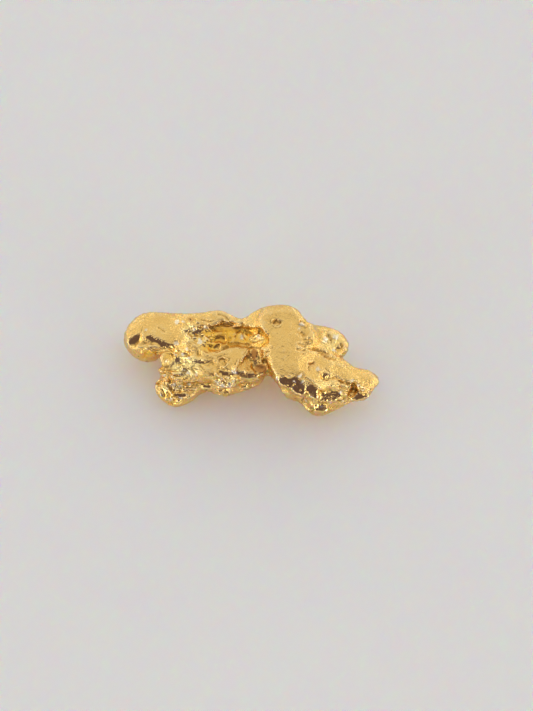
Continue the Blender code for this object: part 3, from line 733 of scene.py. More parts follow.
@contextmanager
def opened(mesh):
    """Opens the mesh for work on its edges and faces, and writes the result back."""
    shape = bmesh.new()
    shape.from_mesh(mesh)
    yield shape
    shape.to_mesh(mesh)
    shape.free()


def working_skin(node):
    """An object with the node's shape, in working millimetres."""
    shape = bmesh.new()
    shape.from_mesh(node.data)
    bmesh.ops.remove_doubles(shape, verts=shape.verts, dist=WELD_METRES)
    mesh = bpy.data.meshes.new("nugget_skin")
    shape.to_mesh(mesh)
    shape.free()
    mesh.transform(Matrix.Translation(GROWTH_PLACE) @ Matrix.Scale(MM_PER_METRE, 4))
    return add_object("nugget_skin", mesh)


def remesh(skin, voxel, softening):
    """Meshes the skin evenly, and softens it."""
    even = skin.modifiers.new("even", "REMESH")
    even.mode = "VOXEL"
    even.voxel_size = voxel
    soften = skin.modifiers.new("soften", "SMOOTH")
    soften.factor = SOFTENING_FACTOR
    soften.iterations = softening
    evaluated = skin.evaluated_get(bpy.context.evaluated_depsgraph_get())
    mesh = bpy.data.meshes.new_from_object(evaluated)
    skin.modifiers.clear()
    old = skin.data
    skin.data = mesh
    bpy.data.meshes.remove(old)


def points_and_normals(mesh):
    points = np.empty(len(mesh.vertices) * 3)
    normals = np.empty(len(mesh.vertices) * 3, np.float32)
    mesh.vertices.foreach_get("co", points)
    mesh.vertex_normals.foreach_get("vector", normals)
    return points.reshape(-1, 3), normals.reshape(-1, 3).astype(float)


def move_to(mesh, points):
    mesh.vertices.foreach_set("co", points.ravel())
    mesh.update()


def push(mesh, heights):
    """Moves every vertex out along its normal by its own height."""
    points, normals = points_and_normals(mesh)
    move_to(mesh, points + normals * heights[:, None])


def dome(distance, radius):
    """A smooth bump's height, which is 1 in its middle and 0 from its radius on."""
    return np.clip(1 - (distance / radius) ** 2, 0, 1) ** 2


def eased(share):
    """A smooth step from 0 to 1."""
    share = np.clip(share, 0, 1)
    return share * share * (3 - 2 * share)


def evened(values):
    """Values round a closed line, each averaged with its neighbours."""
    return (np.roll(values, 1, 0) + 2 * values + np.roll(values, -1, 0)) / 4


def face_places(points):
    """Each point's (across, up) on the show face, as it is seen."""
    offset = points - FACE_MIDDLE
    nearness = VIEW_DISTANCE / (VIEW_DISTANCE - offset @ FACE_OUT)
    return np.column_stack([FACE_MIDDLE[0] + offset[:, 0] * nearness, (offset @ FACE_UP) * nearness])


def facing_share(normals):
    low, high = FACING_RANGE
    return eased((normals @ FACE_OUT - low) / (high - low))


def sheet_of(mesh):
    """The mesh as a tree that rays can be cast at."""
    mesh.calc_loop_triangles()
    points, _ = points_and_normals(mesh)
    return BVHTree.FromPolygons(points.tolist(), [tuple(t.vertices) for t in mesh.loop_triangles])


def stand_at(tree, across, up):
    """How far the show face stands out at one place on it."""
    eye = Vector(FACE_MIDDLE) + Vector(FACE_OUT) * VIEW_DISTANCE
    aim = Vector(FACE_MIDDLE) + Vector((across - FACE_MIDDLE[0], 0, 0)) + Vector(FACE_UP) * up
    hit = tree.ray_cast(eye, aim - eye)[0]
    return hit.dot(Vector(FACE_OUT)) if hit else math.nan


def up_of(edge, across):
    """How far up an edge of (across, up) points is at each place across."""
    return np.interp(across, *zip(*edge))


def stands_along(tree, edge, outwards, across):
    """How far the show face stands out just beyond an edge, evened out along it."""
    steps = np.linspace(edge[0][0], edge[-1][0], EDGE_STEPS)
    ups = up_of(edge, steps) + outwards
    stands = np.array([stand_at(tree, step, up) for step, up in zip(steps, ups)])
    hit = ~np.isnan(stands)
    stands = np.interp(steps, steps[hit], stands[hit])
    window = np.ones(2 * EVENED_STEPS + 1) / (2 * EVENED_STEPS + 1)
    even = np.convolve(np.pad(stands, EVENED_STEPS, mode="edge"), window, mode="valid")
    return np.interp(across, steps, even)


def hold(inside):
    """How firmly a form holds the skin, from how far inside the form's edges the skin is."""
    return eased(inside / FACET_EDGE + 0.5)


def draw_to(mesh, points, target, weight, reach):
    """Moves the skin that is within reach of the stand that a form gives it, by the form's weight."""
    gap = target - points @ FACE_OUT
    move = gap * weight * (np.abs(gap) < reach)
    move_to(mesh, points + move[:, None] * FACE_OUT)


# ---------------------------------------------------------------------------------------------
# Shaping the broad forms
# ---------------------------------------------------------------------------------------------

def rim_of_outline():
    """Even points along the outline, with the direction that leads out of it at each."""
    corners = np.array(OUTLINE + OUTLINE[:1])
    ends = np.concatenate([[0], np.cumsum(np.linalg.norm(np.diff(corners, axis=0), axis=1))])
    steps = np.arange(0, ends[-1], OUTLINE_STEP)
    rim = evened(np.column_stack([np.interp(steps, ends, corners[:, axis]) for axis in (0, 1)]))
    along = np.roll(rim, -2, 0) - np.roll(rim, 2, 0)
    outwards = np.column_stack([-along[:, 1], along[:, 0]])
    return rim, outwards / np.linalg.norm(outwards, axis=1)[:, None]


def edge_offset(tree, rim_place, outwards):
    """How far out of the outline the skin's own edge is, where it crosses it."""
    offsets = np.arange(-OUTLINE_SEARCH, OUTLINE_SEARCH, SEARCH_STEP)
    hits = [not math.isnan(stand_at(tree, *(rim_place + outwards * offset))) for offset in offsets]
    edges = [offset for offset, hit, after in zip(offsets, hits, hits[1:]) if hit and not after]
    return min(edges, key=abs) + SEARCH_STEP / 2 if edges else math.nan


def fit_outline(mesh):
    """Draws the skin in or out where its own edge strays from the outline."""
    tree = sheet_of(mesh)
    rim, outwards = rim_of_outline()
    strays = np.array([edge_offset(tree, rim_place, out) for rim_place, out in zip(rim, outwards)])
    known = np.flatnonzero(~np.isnan(strays))
    strays = evened(np.interp(np.arange(len(rim)), known, strays[known], period=len(rim)))
    shifts = -strays[:, None] * outwards
    points, _ = points_and_normals(mesh)
    moved = []
    for places in np.array_split(face_places(points), FITTED_BATCHES):
        gaps = np.linalg.norm(places[:, None] - rim, axis=2)
        nearest = gaps.min(axis=1)
        pull = np.exp(-((gaps - nearest[:, None]) / OUTLINE_BLEND) ** 2)
        pull *= (dome(nearest, OUTLINE_REACH) / pull.sum(axis=1))[:, None]
        moved.append(pull @ shifts)
    moved = np.vstack(moved)
    move_to(mesh, points + (moved[:, :1] * np.array((1, 0, 0)) + moved[:, 1:] * FACE_UP))


def level_top(mesh, top):
    """Moves the skin of a worn top to the curved sheet that fits it best."""
    points, normals = points_and_normals(mesh)
    places = (face_places(points) - np.array(top.middle)) / np.array(top.half_widths)
    weight = dome(np.linalg.norm(places, axis=1), 1.0) * facing_share(normals)
    stands = points @ FACE_OUT
    chosen = np.flatnonzero(weight > TOP_FELT)
    across, up = places[chosen].T
    terms = np.column_stack([np.ones_like(up), across, up, across * up, across**2, up**2])
    pull = weight[chosen]
    for _ in range(TOP_FITS):
        fit, *_ = np.linalg.lstsq(terms * pull[:, None], stands[chosen] * pull, rcond=None)
        gap = terms @ fit - stands[chosen]
        pull = weight[chosen] * (np.abs(gap) < TOP_UNEVENNESS)
    level = LEVEL_SLOPE * top.half_widths[1]
    gap += (level - fit[2]) * top.turn * up
    move = np.zeros(len(points))
    grip = np.minimum(1, weight[chosen] * TOP_GRIP)
    move[chosen] = gap * (np.abs(gap) < SAME_SKIN) * grip * top.share
    move_to(mesh, points + move[:, None] * FACE_OUT)


def lay_bed(mesh, tree, bed):
    """Sinks the skin between the bed's edges, with a wall at its top edge."""
    points, _ = points_and_normals(mesh)
    across, up = face_places(points).T
    top = up_of(bed.top, across)
    bottom = up_of(bed.bottom, across)
    share = np.clip((up - bottom) / (top - bottom), 0, 1)
    high = stands_along(tree, bed.top, BESIDE_BED, across)
    low = stands_along(tree, bed.bottom, -BESIDE_BED, across)
    left, right = bed.top[0][0], bed.top[-1][0]
    ends = np.minimum(across - left, right - across)
    slab = low + share * (high - low)
    floor = low - bed.depth * eased((up - bottom) / bed.wall) - bed.fall * (up - bottom)
    floor = np.minimum(floor, slab - bed.depth)
    target = slab + (floor - slab) * eased((top - up) / bed.wall) * eased(ends / bed.wall)
    inside = np.min([ends, top - up, up - bottom], axis=0)
    draw_to(mesh, points, target, hold(inside), BED_REACH)


def fill_crevice(mesh, tree, lump):
    """Adds a ball that the next remesh grows into the skin."""
    across, up = lump.middle
    sides = [stand_at(tree, across, up + lump.radius), stand_at(tree, across, up - lump.radius)]
    stand = np.nanmin(sides) + lump.proud - lump.radius
    foot = FACE_MIDDLE + np.array((across - FACE_MIDDLE[0], 0, 0)) + FACE_UP * up
    middle = Matrix.Translation(Vector(foot + FACE_OUT * (stand - foot @ FACE_OUT)))
    with opened(mesh) as shape:
        bmesh.ops.create_icosphere(shape, subdivisions=3, radius=lump.radius, matrix=middle)


def inside_facet(across, up, facet):
    """How far inside a facet's ragged edges each place is."""
    top = up_of(facet.top, across)
    bottom = up_of(facet.bottom, across)
    left, right = facet.top[0][0], facet.top[-1][0]
    inside = np.min([across - left, right - across, top - up, up - bottom], axis=0) + FACET_SPREAD
    for i in np.flatnonzero(np.abs(inside) < 2 * RAGGED_EDGE):
        inside[i] += RAGGED_EDGE * noise.noise(Vector((across[i], up[i], 0)) * RAGGED_PER_MM)
    return inside


def faceted_share(places):
    return hold(np.max([inside_facet(*places.T, facet) for facet in FACETS.values()], axis=0))


def cut_facet(mesh, tree, facet):
    """Brings the skin between the facet's edges to one plane."""
    points, normals = points_and_normals(mesh)
    across, up = face_places(points).T
    steps = np.linspace(facet.top[0][0], facet.top[-1][0], EDGE_STEPS)
    top_slope, top_start = np.polyfit(steps, up_of(facet.top, steps), 1)
    stands = stands_along(tree, facet.top, 0.0, steps)
    lean = np.clip(np.polyfit(steps, stands, 1)[0], -FACET_LEAN, FACET_LEAN)
    top = top_start + top_slope * across
    target = stands.mean() + lean * (across - steps.mean()) - facet.slope * (top - up)
    weight = hold(inside_facet(across, up, facet)) * (normals @ FACE_OUT > 0)
    draw_to(mesh, points, target, weight, SAME_SKIN)


def shape_broad_forms(mesh):
    for _ in range(OUTLINE_FITS):
        fit_outline(mesh)
    for top in TOPS.values():
        level_top(mesh, top)
    tree = sheet_of(mesh)
    for bed in BEDS.values():
        lay_bed(mesh, tree, bed)
    tree = sheet_of(mesh)
    for lump in LUMPS.values():
        fill_crevice(mesh, tree, lump)
    for facet in FACETS.values():
        cut_facet(mesh, tree, facet)


# ---------------------------------------------------------------------------------------------
# Working the fine skin
# ---------------------------------------------------------------------------------------------

def keep_largest_shell(mesh):
    """Drops any bubble that is left inside the skin."""
    with opened(mesh) as shape:
        shells = []
        unseen = set(shape.verts)
        while unseen:
            shell = [unseen.pop()]
            for vertex in shell:
                for edge in vertex.link_edges:
                    other = edge.other_vert(vertex)
                    if other in unseen:
                        unseen.remove(other)
                        shell.append(other)
            shells.append(shell)
        shells.sort(key=len)
        for shell in shells[:-1]:
            bmesh.ops.delete(shape, geom=shell, context="VERTS")


def distance_to_path(places, path):
    """How far each place is from a path, and the side it is on, which is 1 on the right hand."""
    nearest = np.full(len(places), np.inf)
    side = np.ones(len(places))
    for start, end in zip(path, path[1:] or path):
        start = np.array(start)
        along = np.array(end) - start
        share = np.clip((places - start) @ along / max(along @ along, NO_LENGTH), 0, 1)
        gap = places - start - share[:, None] * along
        distance = np.linalg.norm(gap, axis=1)
        if places.shape[1] == 2:
            turn = along[1] * gap[:, 0] - along[0] * gap[:, 1]
            side = np.where(distance < nearest, np.sign(turn), side)
        nearest = np.minimum(nearest, distance)
    return nearest, side


def stroke_heights(places, stroke):
    distance, side = distance_to_path(places, stroke.path)
    half_width = stroke.half_width * STROKE_WIDTH
    height = stroke.height * STROKE_HEIGHT
    if stroke.fade is None:
        return height * dome(distance, half_width)
    drop = eased(distance / half_width)
    back = 1 - eased((distance - half_width) / stroke.fade)
    return height * drop * back * (side > 0)


def sculpt_show_face(mesh):
    for strokes in SHOW_FACE:
        points, normals = points_and_normals(mesh)
        places = face_places(points)
        heights = sum(stroke_heights(places, stroke) for stroke in strokes)
        calm = 1 - STROKES_CALMED * faceted_share(places)
        push(mesh, heights * calm * facing_share(normals))


def roughness_of_place(points, normals):
    """How crumpled the surface is at each point: in patches on the show face, by a drift elsewhere."""
    places = face_places(points)
    patches = np.full(len(points), SMOOTH_LEFT)
    for across, up, radius, amount in ROUGH_PATCHES:
        distance = np.linalg.norm(places - np.array((across, up)), axis=1)
        patches = np.maximum(patches, amount * dome(distance, radius))
    for facet in FACETS.values():
        patches *= 1 - FACET_CALM * eased(inside_facet(*places.T, facet) / FACET_EDGE)
    drift = np.array([noise.noise(Vector(point) * SIDES_PER_MM) for point in points])
    sides = (SIDES_ROUGH + SIDES_DRIFT * drift) * (1 - BACK_CALM * eased(normals @ FACE_UP))
    facing = facing_share(normals)
    return patches * facing + np.clip(sides, SMOOTH_LEFT, 1) * (1 - facing)


def crease(spot, layer):
    """The height of a layer of creases at a spot on the skin."""
    fold = abs(noise.noise(spot * layer.per_mm + layer.shift))
    return layer.height * (layer.level - fold)


def crumple(mesh):
    """Soft swells all over, and folds, wrinkles, nodules and grain where the surface is rough."""
    points, normals = points_and_normals(mesh)
    rough = roughness_of_place(points, normals)
    heights = np.empty(len(points))
    for i, point in enumerate(points):
        spot = Vector(point)
        swell = SWELL * noise.noise(spot * SWELLS_PER_MM)
        bent = spot * NODULES_PER_MM + NODULE_BEND * noise.noise_vector(spot * NODULE_BENDS_PER_MM)
        nodule = NODULE_LEVEL - noise.voronoi(bent, distance_metric="MANHATTAN")[0][0]
        relief = crease(spot, FOLDS) + crease(spot, WRINKLES) + NODULE * nodule + crease(spot, GRAINS)
        heights[i] = swell + rough[i] * relief
    push(mesh, heights)


def mesh_worked_places_finely(mesh):
    """Divides the faces of the show face's rough places, and those under a stroke, in four."""
    points, normals = points_and_normals(mesh)
    places = face_places(points)
    worked = roughness_of_place(points, normals)
    for strokes in SHOW_FACE:
        for stroke in strokes:
            worked = np.maximum(worked, np.abs(stroke_heights(places, stroke)) > STROKE_FELT)
    fine = worked * facing_share(normals) > ROUGH_ENOUGH
    with opened(mesh) as shape:
        chosen = {face for face in shape.faces if all(fine[vertex.index] for vertex in face.verts)}
        edges = [edge for edge in shape.edges if not chosen.isdisjoint(edge.link_faces)]
        bmesh.ops.subdivide_edges(shape, edges=edges, cuts=1, use_grid_fill=True)
        bmesh.ops.triangulate(shape, faces=[face for face in shape.faces if len(face.verts) > 4])


def mark_hidden_sides(mesh):
    """Pits, creases and short ridges over the back, the ends and the underside."""
    chance = np.random.default_rng(MARK_SEED)
    points, normals = points_and_normals(mesh)
    away = eased(-HIDDEN_GAIN * (normals @ FACE_OUT))
    hidden = np.flatnonzero(away > HIDDEN_ENOUGH)
    heights = np.zeros(len(points))
    for start in hidden[chance.integers(len(hidden), size=MARKS)]:
        course = np.cross(normals[start], chance.normal(size=3))
        course *= chance.uniform(*MARK_LENGTHS) / np.linalg.norm(course)
        bend = np.cross(normals[start], course) * chance.uniform(-MARK_BEND, MARK_BEND)
        path = [points[start], points[start] + course / 2 + bend, points[start] + course]
        half_width = chance.uniform(*MARK_HALF_WIDTHS)
        height = chance.uniform(*MARK_HEIGHTS) * half_width / MARK_HALF_WIDTHS[1]
        near = np.linalg.norm(points - path[1], axis=1) < MARK_LENGTHS[1] + half_width
        distance, _ = distance_to_path(points[near], path)
        heights[near] += height * dome(distance, half_width)
    push(mesh, heights * away)


def rest_on_ground(mesh):
    """Keeps the worn feet flat on the ground, and the front edge within the nugget's depth."""
    points, _ = points_and_normals(mesh)
    points[:, 2] = np.maximum(points[:, 2], GROWTH_PLACE.z)
    over = np.maximum(FRONT_EDGE - points[:, 1], 0)
    points[:, 1] += over - FRONT_GIVE * np.tanh(over / FRONT_GIVE)
    move_to(mesh, points)


# ---------------------------------------------------------------------------------------------
# Recording what the gold reads
# ---------------------------------------------------------------------------------------------

def store(mesh, name, values):
    """Stores a value from 0 to 1, or from -1 to 1, at each vertex, for the gold to read."""
    attribute = mesh.attributes.new(name, "FLOAT", "POINT")
    attribute.data.foreach_set("value", values.astype(np.float32))


def record_colour_places(mesh):
    """Stores the colour spots (orange stain with painted glow, iron stain with painted shade, painted
    sheen) and the painted glints.
    """
    points, normals = points_and_normals(mesh)
    places = face_places(points)
    facing = facing_share(normals)
    for name, spots_of_kind in COLOUR_SPOTS.items():
        coloured = np.zeros(len(points))
        for colour_spot in spots_of_kind:
            offset = (places - np.array(colour_spot.middle)) / np.array(colour_spot.half_widths)
            edge = eased((SPOT_REACH - np.linalg.norm(offset, axis=1)) / SPOT_EDGE)
            coloured = np.maximum(coloured, colour_spot.share * edge)
        store(mesh, name, coloured * facing)
    bends = np.array([noise.noise_vector(Vector(point) * GLINT_BENDS_PER_MM)[:2] for point in points])
    bent = places + GLINT_BEND * bends
    painted_glint = np.zeros(len(points))
    for across, up, radius in PAINTED_GLINTS:
        distance = np.linalg.norm(bent - np.array((across, up)), axis=1)
        painted_glint = np.maximum(painted_glint, eased((GLINT_REACH - distance / radius) / SPOT_EDGE))
    store(mesh, "painted_glint", painted_glint * facing)


def record_polish(mesh):
    """Stores where the gold is bright rather than worn satin."""
    points, normals = points_and_normals(mesh)
    store(mesh, "crumpled", roughness_of_place(points, normals))
    store(mesh, "faceted", faceted_share(face_places(points)) * facing_share(normals))


def averaged(values, edges, counts, times):
    """Values averaged with their neighbours' over the mesh, that many times."""
    for _ in range(times):
        total = np.zeros_like(values)
        np.add.at(total, edges[:, 0], values[edges[:, 1]])
        np.add.at(total, edges[:, 1], values[edges[:, 0]])
        values = (values + total / counts[:, None]) / 2
    return values


def record_relief(mesh):
    """Stores how sunk or raised the surface is against its surroundings."""
    points, normals = points_and_normals(mesh)
    edges = np.empty(len(mesh.edges) * 2, np.int32)
    mesh.edges.foreach_get("vertices", edges)
    edges = edges.reshape(-1, 2)
    counts = np.bincount(edges.ravel(), minlength=len(points)).astype(float)
    for name, relief in RELIEFS.items():
        around = averaged(points, edges, counts, relief.averagings)
        raised = np.einsum("ij,ij->i", points - around, normals) / relief.full_height
        store(mesh, name, np.clip(raised, -1, 1))


# ---------------------------------------------------------------------------------------------
# The nugget
# ---------------------------------------------------------------------------------------------

def make_nugget(node):
    noise.seed_set(NOISE_SEED)
    skin = working_skin(node)
    remesh(skin, FORM_VOXEL, FORM_SOFTENING)
    shape_broad_forms(skin.data)
    remesh(skin, SKIN_VOXEL, SKIN_SOFTENING)
    mesh = skin.data
    keep_largest_shell(mesh)
    mesh_worked_places_finely(mesh)
    sculpt_show_face(mesh)
    mark_hidden_sides(mesh)
    crumple(mesh)
    fit_outline(mesh)
    rest_on_ground(mesh)
    record_colour_places(mesh)
    record_polish(mesh)
    record_relief(mesh)
    mesh.transform(Matrix.Scale(METRES_PER_MM, 4) @ Matrix.Translation(-GROWTH_PLACE))
    mesh.shade_smooth()
    mesh.materials.clear()
    mesh.materials.append(finished("native_gold_skin", gold))
    return skin


# ---------------------------------------------------------------------------------------------
# Materials
# ---------------------------------------------------------------------------------------------

class Value:
    """A node's output, with the arithmetic that adds its Math nodes."""

    def __init__(self, shader, socket):
        self.shader = shader
        self.socket = socket

    def math(self, operation, *terms):
        sockets = dict(enumerate(terms))
        return self.shader.node("ShaderNodeMath", {"operation": operation}, sockets)

    def __add__(self, other):
        return self.math("ADD", self, other)

    def __sub__(self, other):
        return self.math("SUBTRACT", self, other)

    def __rsub__(self, other):
        return self.math("SUBTRACT", other, self)

    def __mul__(self, other):
        return self.math("MULTIPLY", self, other)

    def __truediv__(self, other):
        return self.math("DIVIDE", self, other)

    def __rtruediv__(self, other):
        return self.math("DIVIDE", other, self)

    __radd__ = __add__
    __rmul__ = __mul__

    def clipped(self):
        return self.math("MAXIMUM", self.math("MINIMUM", self, 1), 0)


class Shader:
    """A node tree that is built by naming nodes, their settings and their sockets."""

    def __init__(self, tree):
        self.tree = tree
        tree.nodes.clear()

    def node(self, kind, settings=None, sockets=None, output=0):
        """Adds a node: its settings first, then the values or links of its sockets."""
        node = self.tree.nodes.new(kind)
        for name, setting in (settings or {}).items():
            setattr(node, name, setting)
        for name, value in (sockets or {}).items():
            if isinstance(value, Value):
                self.tree.links.new(value.socket, node.inputs[name])
            else:
                node.inputs[name].default_value = value
        return Value(self, node.outputs[output]) if node.outputs else None

    def vector(self, operation, first, second, output=0):
        settings = {"operation": operation}
        return self.node("ShaderNodeVectorMath", settings, {0: first, 1: second}, output)

    def blend(self, share, low, high):
        """One colour mixed over another."""
        settings = {"data_type": "RGBA"}
        return self.node("ShaderNodeMix", settings, {0: share, 6: low, 7: high}, 2)

    def cloud(self, per_mm, detail, roughness=0.5, shift=0.0):
        """A soft noise about 0.5, with that many swells to a millimetre."""
        place = self.node("ShaderNodeTexCoord", output="Object")
        if shift:
            place = self.vector("ADD", place, (shift, shift, shift))
        return self.node("ShaderNodeTexNoise", None, {
            "Vector": place,
            "Scale": per_mm * MM_PER_METRE,
            "Detail": detail,
            "Roughness": roughness,
        })

    def attribute(self, name):
        return self.node("ShaderNodeAttribute", {"attribute_name": name}, None, "Fac")


def finished(name, finish):
    """A material whose surface is made by the finish, a function that takes its shader."""
    material = bpy.data.materials.new(name)
    material.use_nodes = True
    shader = Shader(material.node_tree)
    shader.node("ShaderNodeOutputMaterial", None, {"Surface": finish(shader)})
    return material


YELLOW_GOLD = (0.91, 0.60, 0.185, 1)
RICH_GOLD = (1.0, 0.57, 0.060, 1)
FLOOR_COLOUR = (0.91, 0.91, 0.88, 1)

# Tints over the yellow gold: the colour, and how much of it shows where it is strongest.
Tint = namedtuple("Tint", "colour share")

RED_GOLD = Tint((0.84, 0.49, 0.125, 1), 0.55)
# painted glow: a richer orange where the broad relief is sunk, standing in for light bouncing inside
# hollows
HOLLOW_GLOW_GOLD = Tint(RICH_GOLD, 0.8)
WORN_GOLD = Tint((0.96, 0.73, 0.34, 1), 0.6)
# orange stain, with painted glow in the hollow and pits
ORANGE_STAIN_AND_GLOW = Tint(RICH_GOLD, 0.9)
# painted sheen
SHEEN_GOLD = Tint((1.0, 0.80, 0.33, 1), 1.0)
# iron stain, with painted shade in the pocket and pits; it is also made rougher and its bump flattened
IRON_STAIN_AND_SHADE = Tint((0.54, 0.23, 0.055, 1), 0.9)
# painted shade: a dark earth colour in the finest crevices, which are also made rough and dull
CREVICE_SHADE = Tint((0.16, 0.085, 0.035, 1), 0.8)
# painted highlights on the peaks of the crumpled places' fine relief
RIDGE_HIGHLIGHT_GOLD = Tint((1.0, 0.84, 0.50, 1), 0.65)
# painted glints, which are also made rougher
GLINT_GOLD = Tint((1.0, 0.91, 0.68, 1), 0.85)

WORN_ROUGHNESS = 0.30
POLISHED_ROUGHNESS = 0.12
SPECKLE_ROUGHENS = 0.16
CREVICE_SHADE_ROUGHENS = 0.22
WEAR_SMOOTHS = 0.04
GLINT_ROUGHENS = 0.10
IRON_AND_SHADE_ROUGHENS = 0.16

BUMP_DEPTH = 0.020
PORE_DEPTH = 1.7  # against the peel's
CRUMB_DEPTH = 0.6
POLISH_FLATTENS = 0.72


def gold(shader):
    """Native gold: painted orange glow where sunk, painted dark shade (rough, dull) in fine crevices, paler
    where worn, with painted highlights, sheen and glints.
    """
    fine = shader.attribute("fine_relief")
    broad = shader.attribute("broad_relief")
    crumpled = shader.attribute("crumpled")
    faceted = shader.attribute("faceted")
    iron_and_shade = shader.attribute("iron_stain_and_shade")
    painted_glint = shader.attribute("painted_glint")
    mottle = shader.cloud(per_mm=1.1, detail=3.0)
    speckle = shader.cloud(per_mm=9.0, detail=3.0, roughness=0.6)

    crevices = (-1.6 * fine - 0.75).clipped()
    # painted shade: the finest crevices are darkened, with a speckle
    crevice_shade = (crevices * (0.5 + speckle)).clipped()
    worn = (0.45 * broad + 0.55 * fine - 0.15).clipped()

    colour = YELLOW_GOLD
    for tint, where in [
        (RED_GOLD, ((mottle - 0.38) * 2.2).clipped()),
        # painted glow in the sunk places
        (HOLLOW_GLOW_GOLD, (-0.8 * broad - 0.2).clipped()),
        (WORN_GOLD, worn),
        # orange stain with painted glow
        (ORANGE_STAIN_AND_GLOW, shader.attribute("orange_stain_and_glow")),
        # painted sheen
        (SHEEN_GOLD, shader.attribute("painted_sheen")),
        # iron stain with painted shade
        (IRON_STAIN_AND_SHADE, iron_and_shade),
        (CREVICE_SHADE, crevice_shade),
        # painted highlights on the crumpled ridges
        (RIDGE_HIGHLIGHT_GOLD, ((1.5 * fine - 0.15) * crumpled).clipped()),
        # painted glints
        (GLINT_GOLD, painted_glint),
    ]:
        colour = shader.blend(where * tint.share, colour, tint.colour)

    polish = (crumpled + faceted).clipped()
    roughness = WORN_ROUGHNESS + (POLISHED_ROUGHNESS - WORN_ROUGHNESS) * polish
    roughness += SPECKLE_ROUGHENS * (speckle - 0.5) + CREVICE_SHADE_ROUGHENS * crevice_shade
    roughness += GLINT_ROUGHENS * painted_glint + IRON_AND_SHADE_ROUGHENS * iron_and_shade - WEAR_SMOOTHS * worn

    pores = shader.cloud(per_mm=16.0, detail=2.0, roughness=0.6, shift=0.4)
    peel = shader.cloud(per_mm=7.0, detail=2.0, shift=0.9)
    crumbs = shader.cloud(per_mm=11.0, detail=2.0, roughness=0.6, shift=1.7) * crumpled
    flattened = POLISH_FLATTENS * (crumpled + faceted + iron_and_shade).clipped()
    bump = shader.node("ShaderNodeBump", None, {
        "Strength": 1.0,
        "Distance": BUMP_DEPTH * METRES_PER_MM,
        "Height": (PORE_DEPTH * pores + peel + CRUMB_DEPTH * crumbs) * (1 - flattened),
    })
    return shader.node("ShaderNodeBsdfPrincipled", None, {
        "Base Color": colour,
        "Metallic": 1.0,
        "Roughness": roughness,
        "Normal": bump,
    })


def pale_floor(shader):
    """A soft white mat, which light sinks into."""
    return shader.node("ShaderNodeBsdfPrincipled", None, {
        "Base Color": FLOOR_COLOUR,
        "Roughness": 0.85,
        "Subsurface Weight": 1.0,
        "Subsurface Radius": (1.0, 0.50, 0.22),
        "Subsurface Scale": 18.0 * METRES_PER_MM,
    })


# ---------------------------------------------------------------------------------------------
# Studio
# ---------------------------------------------------------------------------------------------

FLOOR_SIZE = 0.8

STUDIO_LIGHT = (0.92, 0.90, 0.88, 1)
STUDIO_STRENGTH = 0.90

# The dark flag, which the faces that lean forwards mirror: where its middle stands, and how far it
# reaches up and down and to the sides.
FLAG_COLOUR = (0.156, 0.122, 0.205, 1)
FLAG_ELEVATION = math.radians(36.5)
FLAG_HALF_HEIGHT = math.sin(math.radians(30.5))
FLAG_HALF_WIDTH = math.sin(math.radians(68))
FLAG_EDGE = 0.14

# Soft lamps: the direction each stands in, its size, and its power in watts.
Lamp = namedtuple("Lamp", "direction size power")
LAMPS = {
    "left_lamp": Lamp((-0.97, 0.05, 0.15), 0.08, 0.09),
    "right_lamp": Lamp((0.97, 0.10, 0.14), 0.08, 0.09),
    "back_left_lamp": Lamp((-0.55, 0.80, 0.10), 0.07, 0.05),
    "back_right_lamp": Lamp((0.50, 0.84, 0.10), 0.07, 0.05),
    "front_left_lamp": Lamp((-0.78, -0.58, 0.20), 0.09, 0.16),
    "front_right_lamp": Lamp((0.78, -0.58, 0.20), 0.09, 0.15),
    "front_lamp": Lamp((-0.15, -0.95, 0.12), 0.06, 0.05),
}
LAMP_DISTANCE = 0.30

FOCAL_PIXELS = 1574
IMAGE_HEIGHT_PIXELS = 711
SENSOR = 36.0
NEAREST_SEEN = 0.001


def point_at(obj, direction):
    """Turns a lamp or camera, which looks along its own -Z, to look along the direction."""
    obj.rotation_mode = "QUATERNION"
    obj.rotation_quaternion = Vector(direction).to_track_quat("-Z", "Y")


def make_floor():
    half = FLOOR_SIZE / 2
    mesh = bpy.data.meshes.new("floor")
    corners = [(-half, -half, 0), (half, -half, 0), (half, half, 0), (-half, half, 0)]
    mesh.from_pydata(corners, [], [(0, 1, 2, 3)])
    mesh.materials.append(finished("pale_floor", pale_floor))
    floor = add_object("floor", mesh)


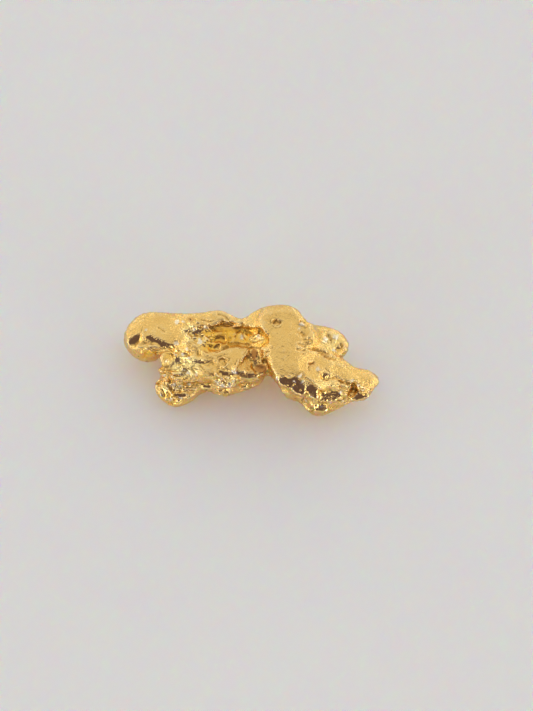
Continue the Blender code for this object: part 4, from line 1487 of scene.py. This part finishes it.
def make_room():
    """Soft light from all round, but for a dark flag in front and above."""
    world = bpy.data.worlds.new("studio")
    world.use_nodes = True
    bpy.context.scene.world = world
    shader = Shader(world.node_tree)
    direction = shader.node("ShaderNodeTexCoord", output="Generated")
    flag_upwards = (0, math.sin(FLAG_ELEVATION), math.cos(FLAG_ELEVATION))
    above = shader.vector("DOT_PRODUCT", direction, flag_upwards, "Value") / FLAG_HALF_HEIGHT
    aside = shader.node("ShaderNodeSeparateXYZ", None, {0: direction}, "X") / FLAG_HALF_WIDTH
    flag = shader.node("ShaderNodeMapRange", {"interpolation_type": "SMOOTHSTEP"}, {
        "Value": above * above + aside * aside,
        "From Min": 1 + FLAG_EDGE,
        "From Max": 1 - FLAG_EDGE,
    })
    colour = shader.blend(flag, STUDIO_LIGHT, FLAG_COLOUR)
    light = shader.node("ShaderNodeBackground", None, {"Color": colour, "Strength": STUDIO_STRENGTH})
    shader.node("ShaderNodeOutputWorld", None, {"Surface": light})


def make_lamps():
    for name, lamp in LAMPS.items():
        data = bpy.data.lights.new(name, "AREA")
        data.size = lamp.size
        data.energy = lamp.power
        obj = add_object(name, data)
        direction = Vector(lamp.direction).normalized()
        obj.location = direction * LAMP_DISTANCE
        point_at(obj, -direction)


def make_camera():
    data = bpy.data.cameras.new("camera")
    data.sensor_width = SENSOR
    data.lens = FOCAL_PIXELS / IMAGE_HEIGHT_PIXELS * SENSOR
    data.clip_start = NEAREST_SEEN
    camera = add_object("camera", data)
    target = Vector(FACE_MIDDLE) - GROWTH_PLACE
    camera.location = (target + Vector(FACE_OUT) * VIEW_DISTANCE) * METRES_PER_MM
    point_at(camera, -Vector(FACE_OUT))
    bpy.context.scene.camera = camera


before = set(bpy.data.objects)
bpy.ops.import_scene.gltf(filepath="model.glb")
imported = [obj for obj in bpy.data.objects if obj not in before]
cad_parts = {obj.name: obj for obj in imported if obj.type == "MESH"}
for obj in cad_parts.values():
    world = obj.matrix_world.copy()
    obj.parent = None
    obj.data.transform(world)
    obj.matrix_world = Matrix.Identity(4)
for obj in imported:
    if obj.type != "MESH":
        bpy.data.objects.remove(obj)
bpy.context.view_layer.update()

nugget = make_nugget(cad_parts[NODE])
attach(nugget, BODY)
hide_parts(NODE)

make_floor()
make_room()
make_lamps()
make_camera()
bpy.context.scene.view_settings.view_transform = "Standard"
